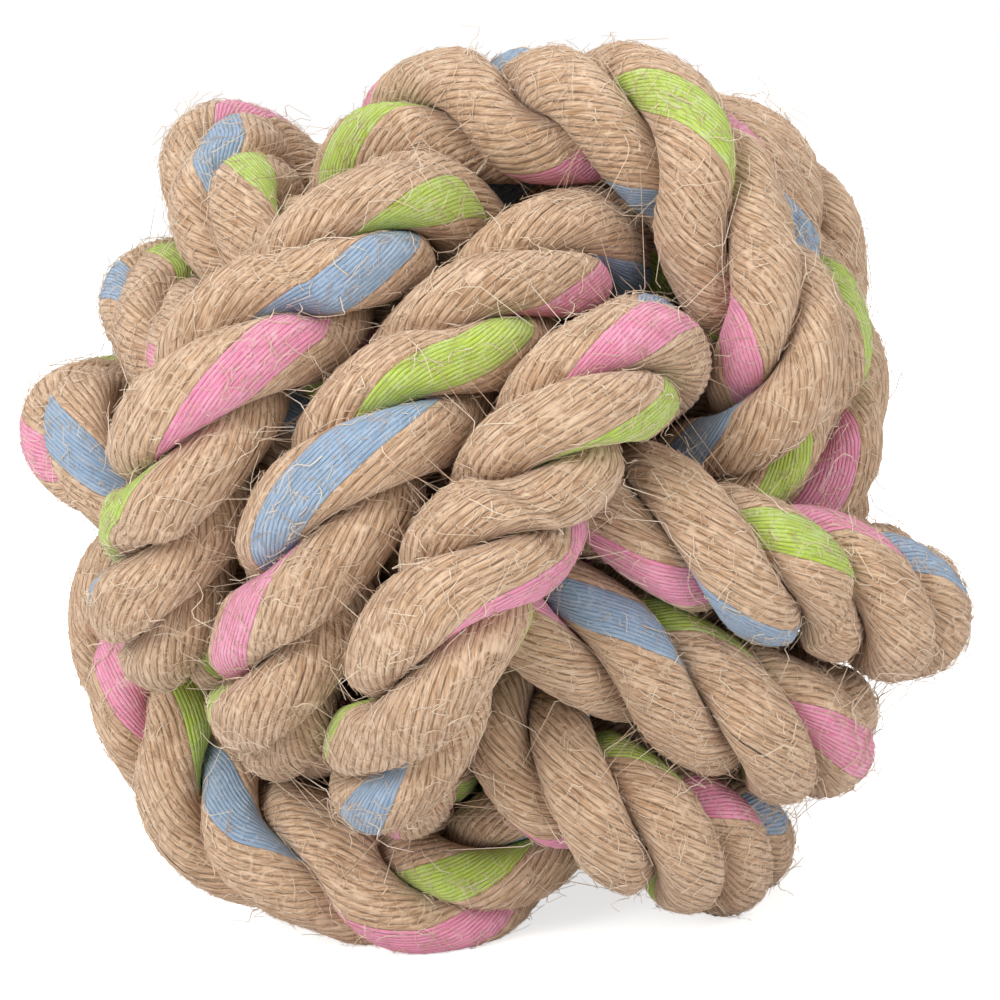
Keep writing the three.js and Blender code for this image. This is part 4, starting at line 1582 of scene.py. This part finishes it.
class ROPEBALL_OT_set_stage(Operator):
    """Set the floor, the lamps and the camera of the photograph"""

    bl_idname = "ropeball.set_stage"
    bl_label = "Set the stage"

    def execute(self, context):
        scene = context.scene
        colors = scene.rope_ball_colors
        scene.view_settings.view_transform = "Standard"
        self.add_floor(scene, colors)
        self.add_world(scene)
        self.add_lamps(scene)
        self.add_camera(scene)
        return {"FINISHED"}

    def add_floor(self, scene, colors):
        mesh = bpy.data.meshes.new("floor")
        corners = [(-1, -1), (1, -1), (1, 1), (-1, 1)]
        points = [(x * FLOOR_HALF, y * FLOOR_HALF, -FLOOR_DROP) for x, y in corners]
        mesh.from_pydata(points, [], [(0, 1, 2, 3)])
        floor = bpy.data.objects.new("floor", mesh)
        scene.collection.objects.link(floor)
        values = {
            "Base Color": (*colors.floor, 1),
            "Roughness": 1.0,
            "Specular IOR Level": 0.0,
            "Emission Color": (1, 1, 1, 1),
        }
        material, tree, shader = new_material("floor", values)
        brightness = calculate(tree, "MULTIPLY", seen_directly(tree), FLOOR_WHITENESS)
        tree.links.new(brightness, shader.inputs["Emission Strength"])
        mesh.materials.append(material)

    def add_world(self, scene):
        world = bpy.data.worlds.new("soft_room")
        scene.world = world
        world.use_nodes = True
        tree = world.node_tree
        light = tree.nodes["Background"]
        light.inputs["Color"].default_value = (1, 1, 1, 1)
        light.inputs["Strength"].default_value = ROOM_LIGHT
        white = new_node(tree, "ShaderNodeBackground", {"Color": (1, 1, 1, 1), "Strength": 1.0})
        sockets = {0: seen_directly(tree), 1: light.outputs[0], 2: white.outputs[0]}
        mix = new_node(tree, "ShaderNodeMixShader", sockets)
        tree.links.new(mix.outputs[0], tree.nodes["World Output"].inputs["Surface"])

    def add_lamps(self, scene):
        for name, place, size, power in LAMPS:
            lamp = bpy.data.lights.new(name, "AREA")
            lamp.size = size
            lamp.energy = power
            piece = bpy.data.objects.new(name, lamp)
            piece.location = place
            aim = Vector(LAMP_AIM) - Vector(place)
            piece.rotation_euler = aim.to_track_quat("-Z", "Y").to_euler()
            scene.collection.objects.link(piece)

    def add_camera(self, scene):
        data = bpy.data.cameras.new("camera")
        data.lens = CAMERA_LENS_MM
        data.sensor_width = SENSOR_WIDTH_MM
        data.clip_start, data.clip_end = CAMERA_CLIP
        camera = bpy.data.objects.new("camera", data)
        turn = Matrix.Rotation(math.radians(CAMERA_DEGREES["azimuth"]), 3, "Z")
        turn = turn @ Matrix.Rotation(math.radians(90 - CAMERA_DEGREES["elevation"]), 3, "X")
        turn = turn @ Matrix.Rotation(math.radians(CAMERA_DEGREES["roll"]), 3, "Z")
        right, up, back = turn.col
        off_right, off_up = CAMERA_AIM_OFF
        centre = Vector(rope_axis(scene.rope_ball_sizes).centre)
        aim = centre + right * off_right + up * off_up
        camera.matrix_world = Matrix.Translation(aim + back * CAMERA_DISTANCE) @ turn.to_4x4()
        scene.collection.objects.link(camera)
        scene.camera = camera


class ROPEBALL_PT_panel(Panel):
    """Sizes, colours and steps of the rope ball"""

    bl_idname = "ROPEBALL_PT_panel"
    bl_label = "Rope ball"
    bl_space_type = "VIEW_3D"
    bl_region_type = "UI"
    bl_category = "Rope ball"

    def draw(self, context):
        layout = self.layout
        for group in (context.scene.rope_ball_sizes, context.scene.rope_ball_colors):
            for name in group.bl_rna.properties.keys():
                if name not in PLAIN_PROPERTIES:
                    layout.prop(group, name)
        for operator in OPERATORS:
            layout.operator(operator.bl_idname)


OPERATORS = [
    ROPEBALL_OT_lay_strands,
    ROPEBALL_OT_raise_fibres,
    ROPEBALL_OT_wind_whippings,
    ROPEBALL_OT_set_stage,
]
CLASSES = [RopeBallSizes, RopeBallColors, *OPERATORS, ROPEBALL_PT_panel]


def register():
    for entry in CLASSES:
        bpy.utils.register_class(entry)
    bpy.types.Scene.rope_ball_sizes = PointerProperty(type=RopeBallSizes)
    bpy.types.Scene.rope_ball_colors = PointerProperty(type=RopeBallColors)


def unregister():
    del bpy.types.Scene.rope_ball_colors
    del bpy.types.Scene.rope_ball_sizes
    for entry in reversed(CLASSES):
        bpy.utils.unregister_class(entry)


def main():
    register()
    bpy.ops.ropeball.lay_strands()
    bpy.ops.ropeball.raise_fibres()
    bpy.ops.ropeball.wind_whippings()
    bpy.ops.ropeball.set_stage()


if __name__ == "__main__":
    main()
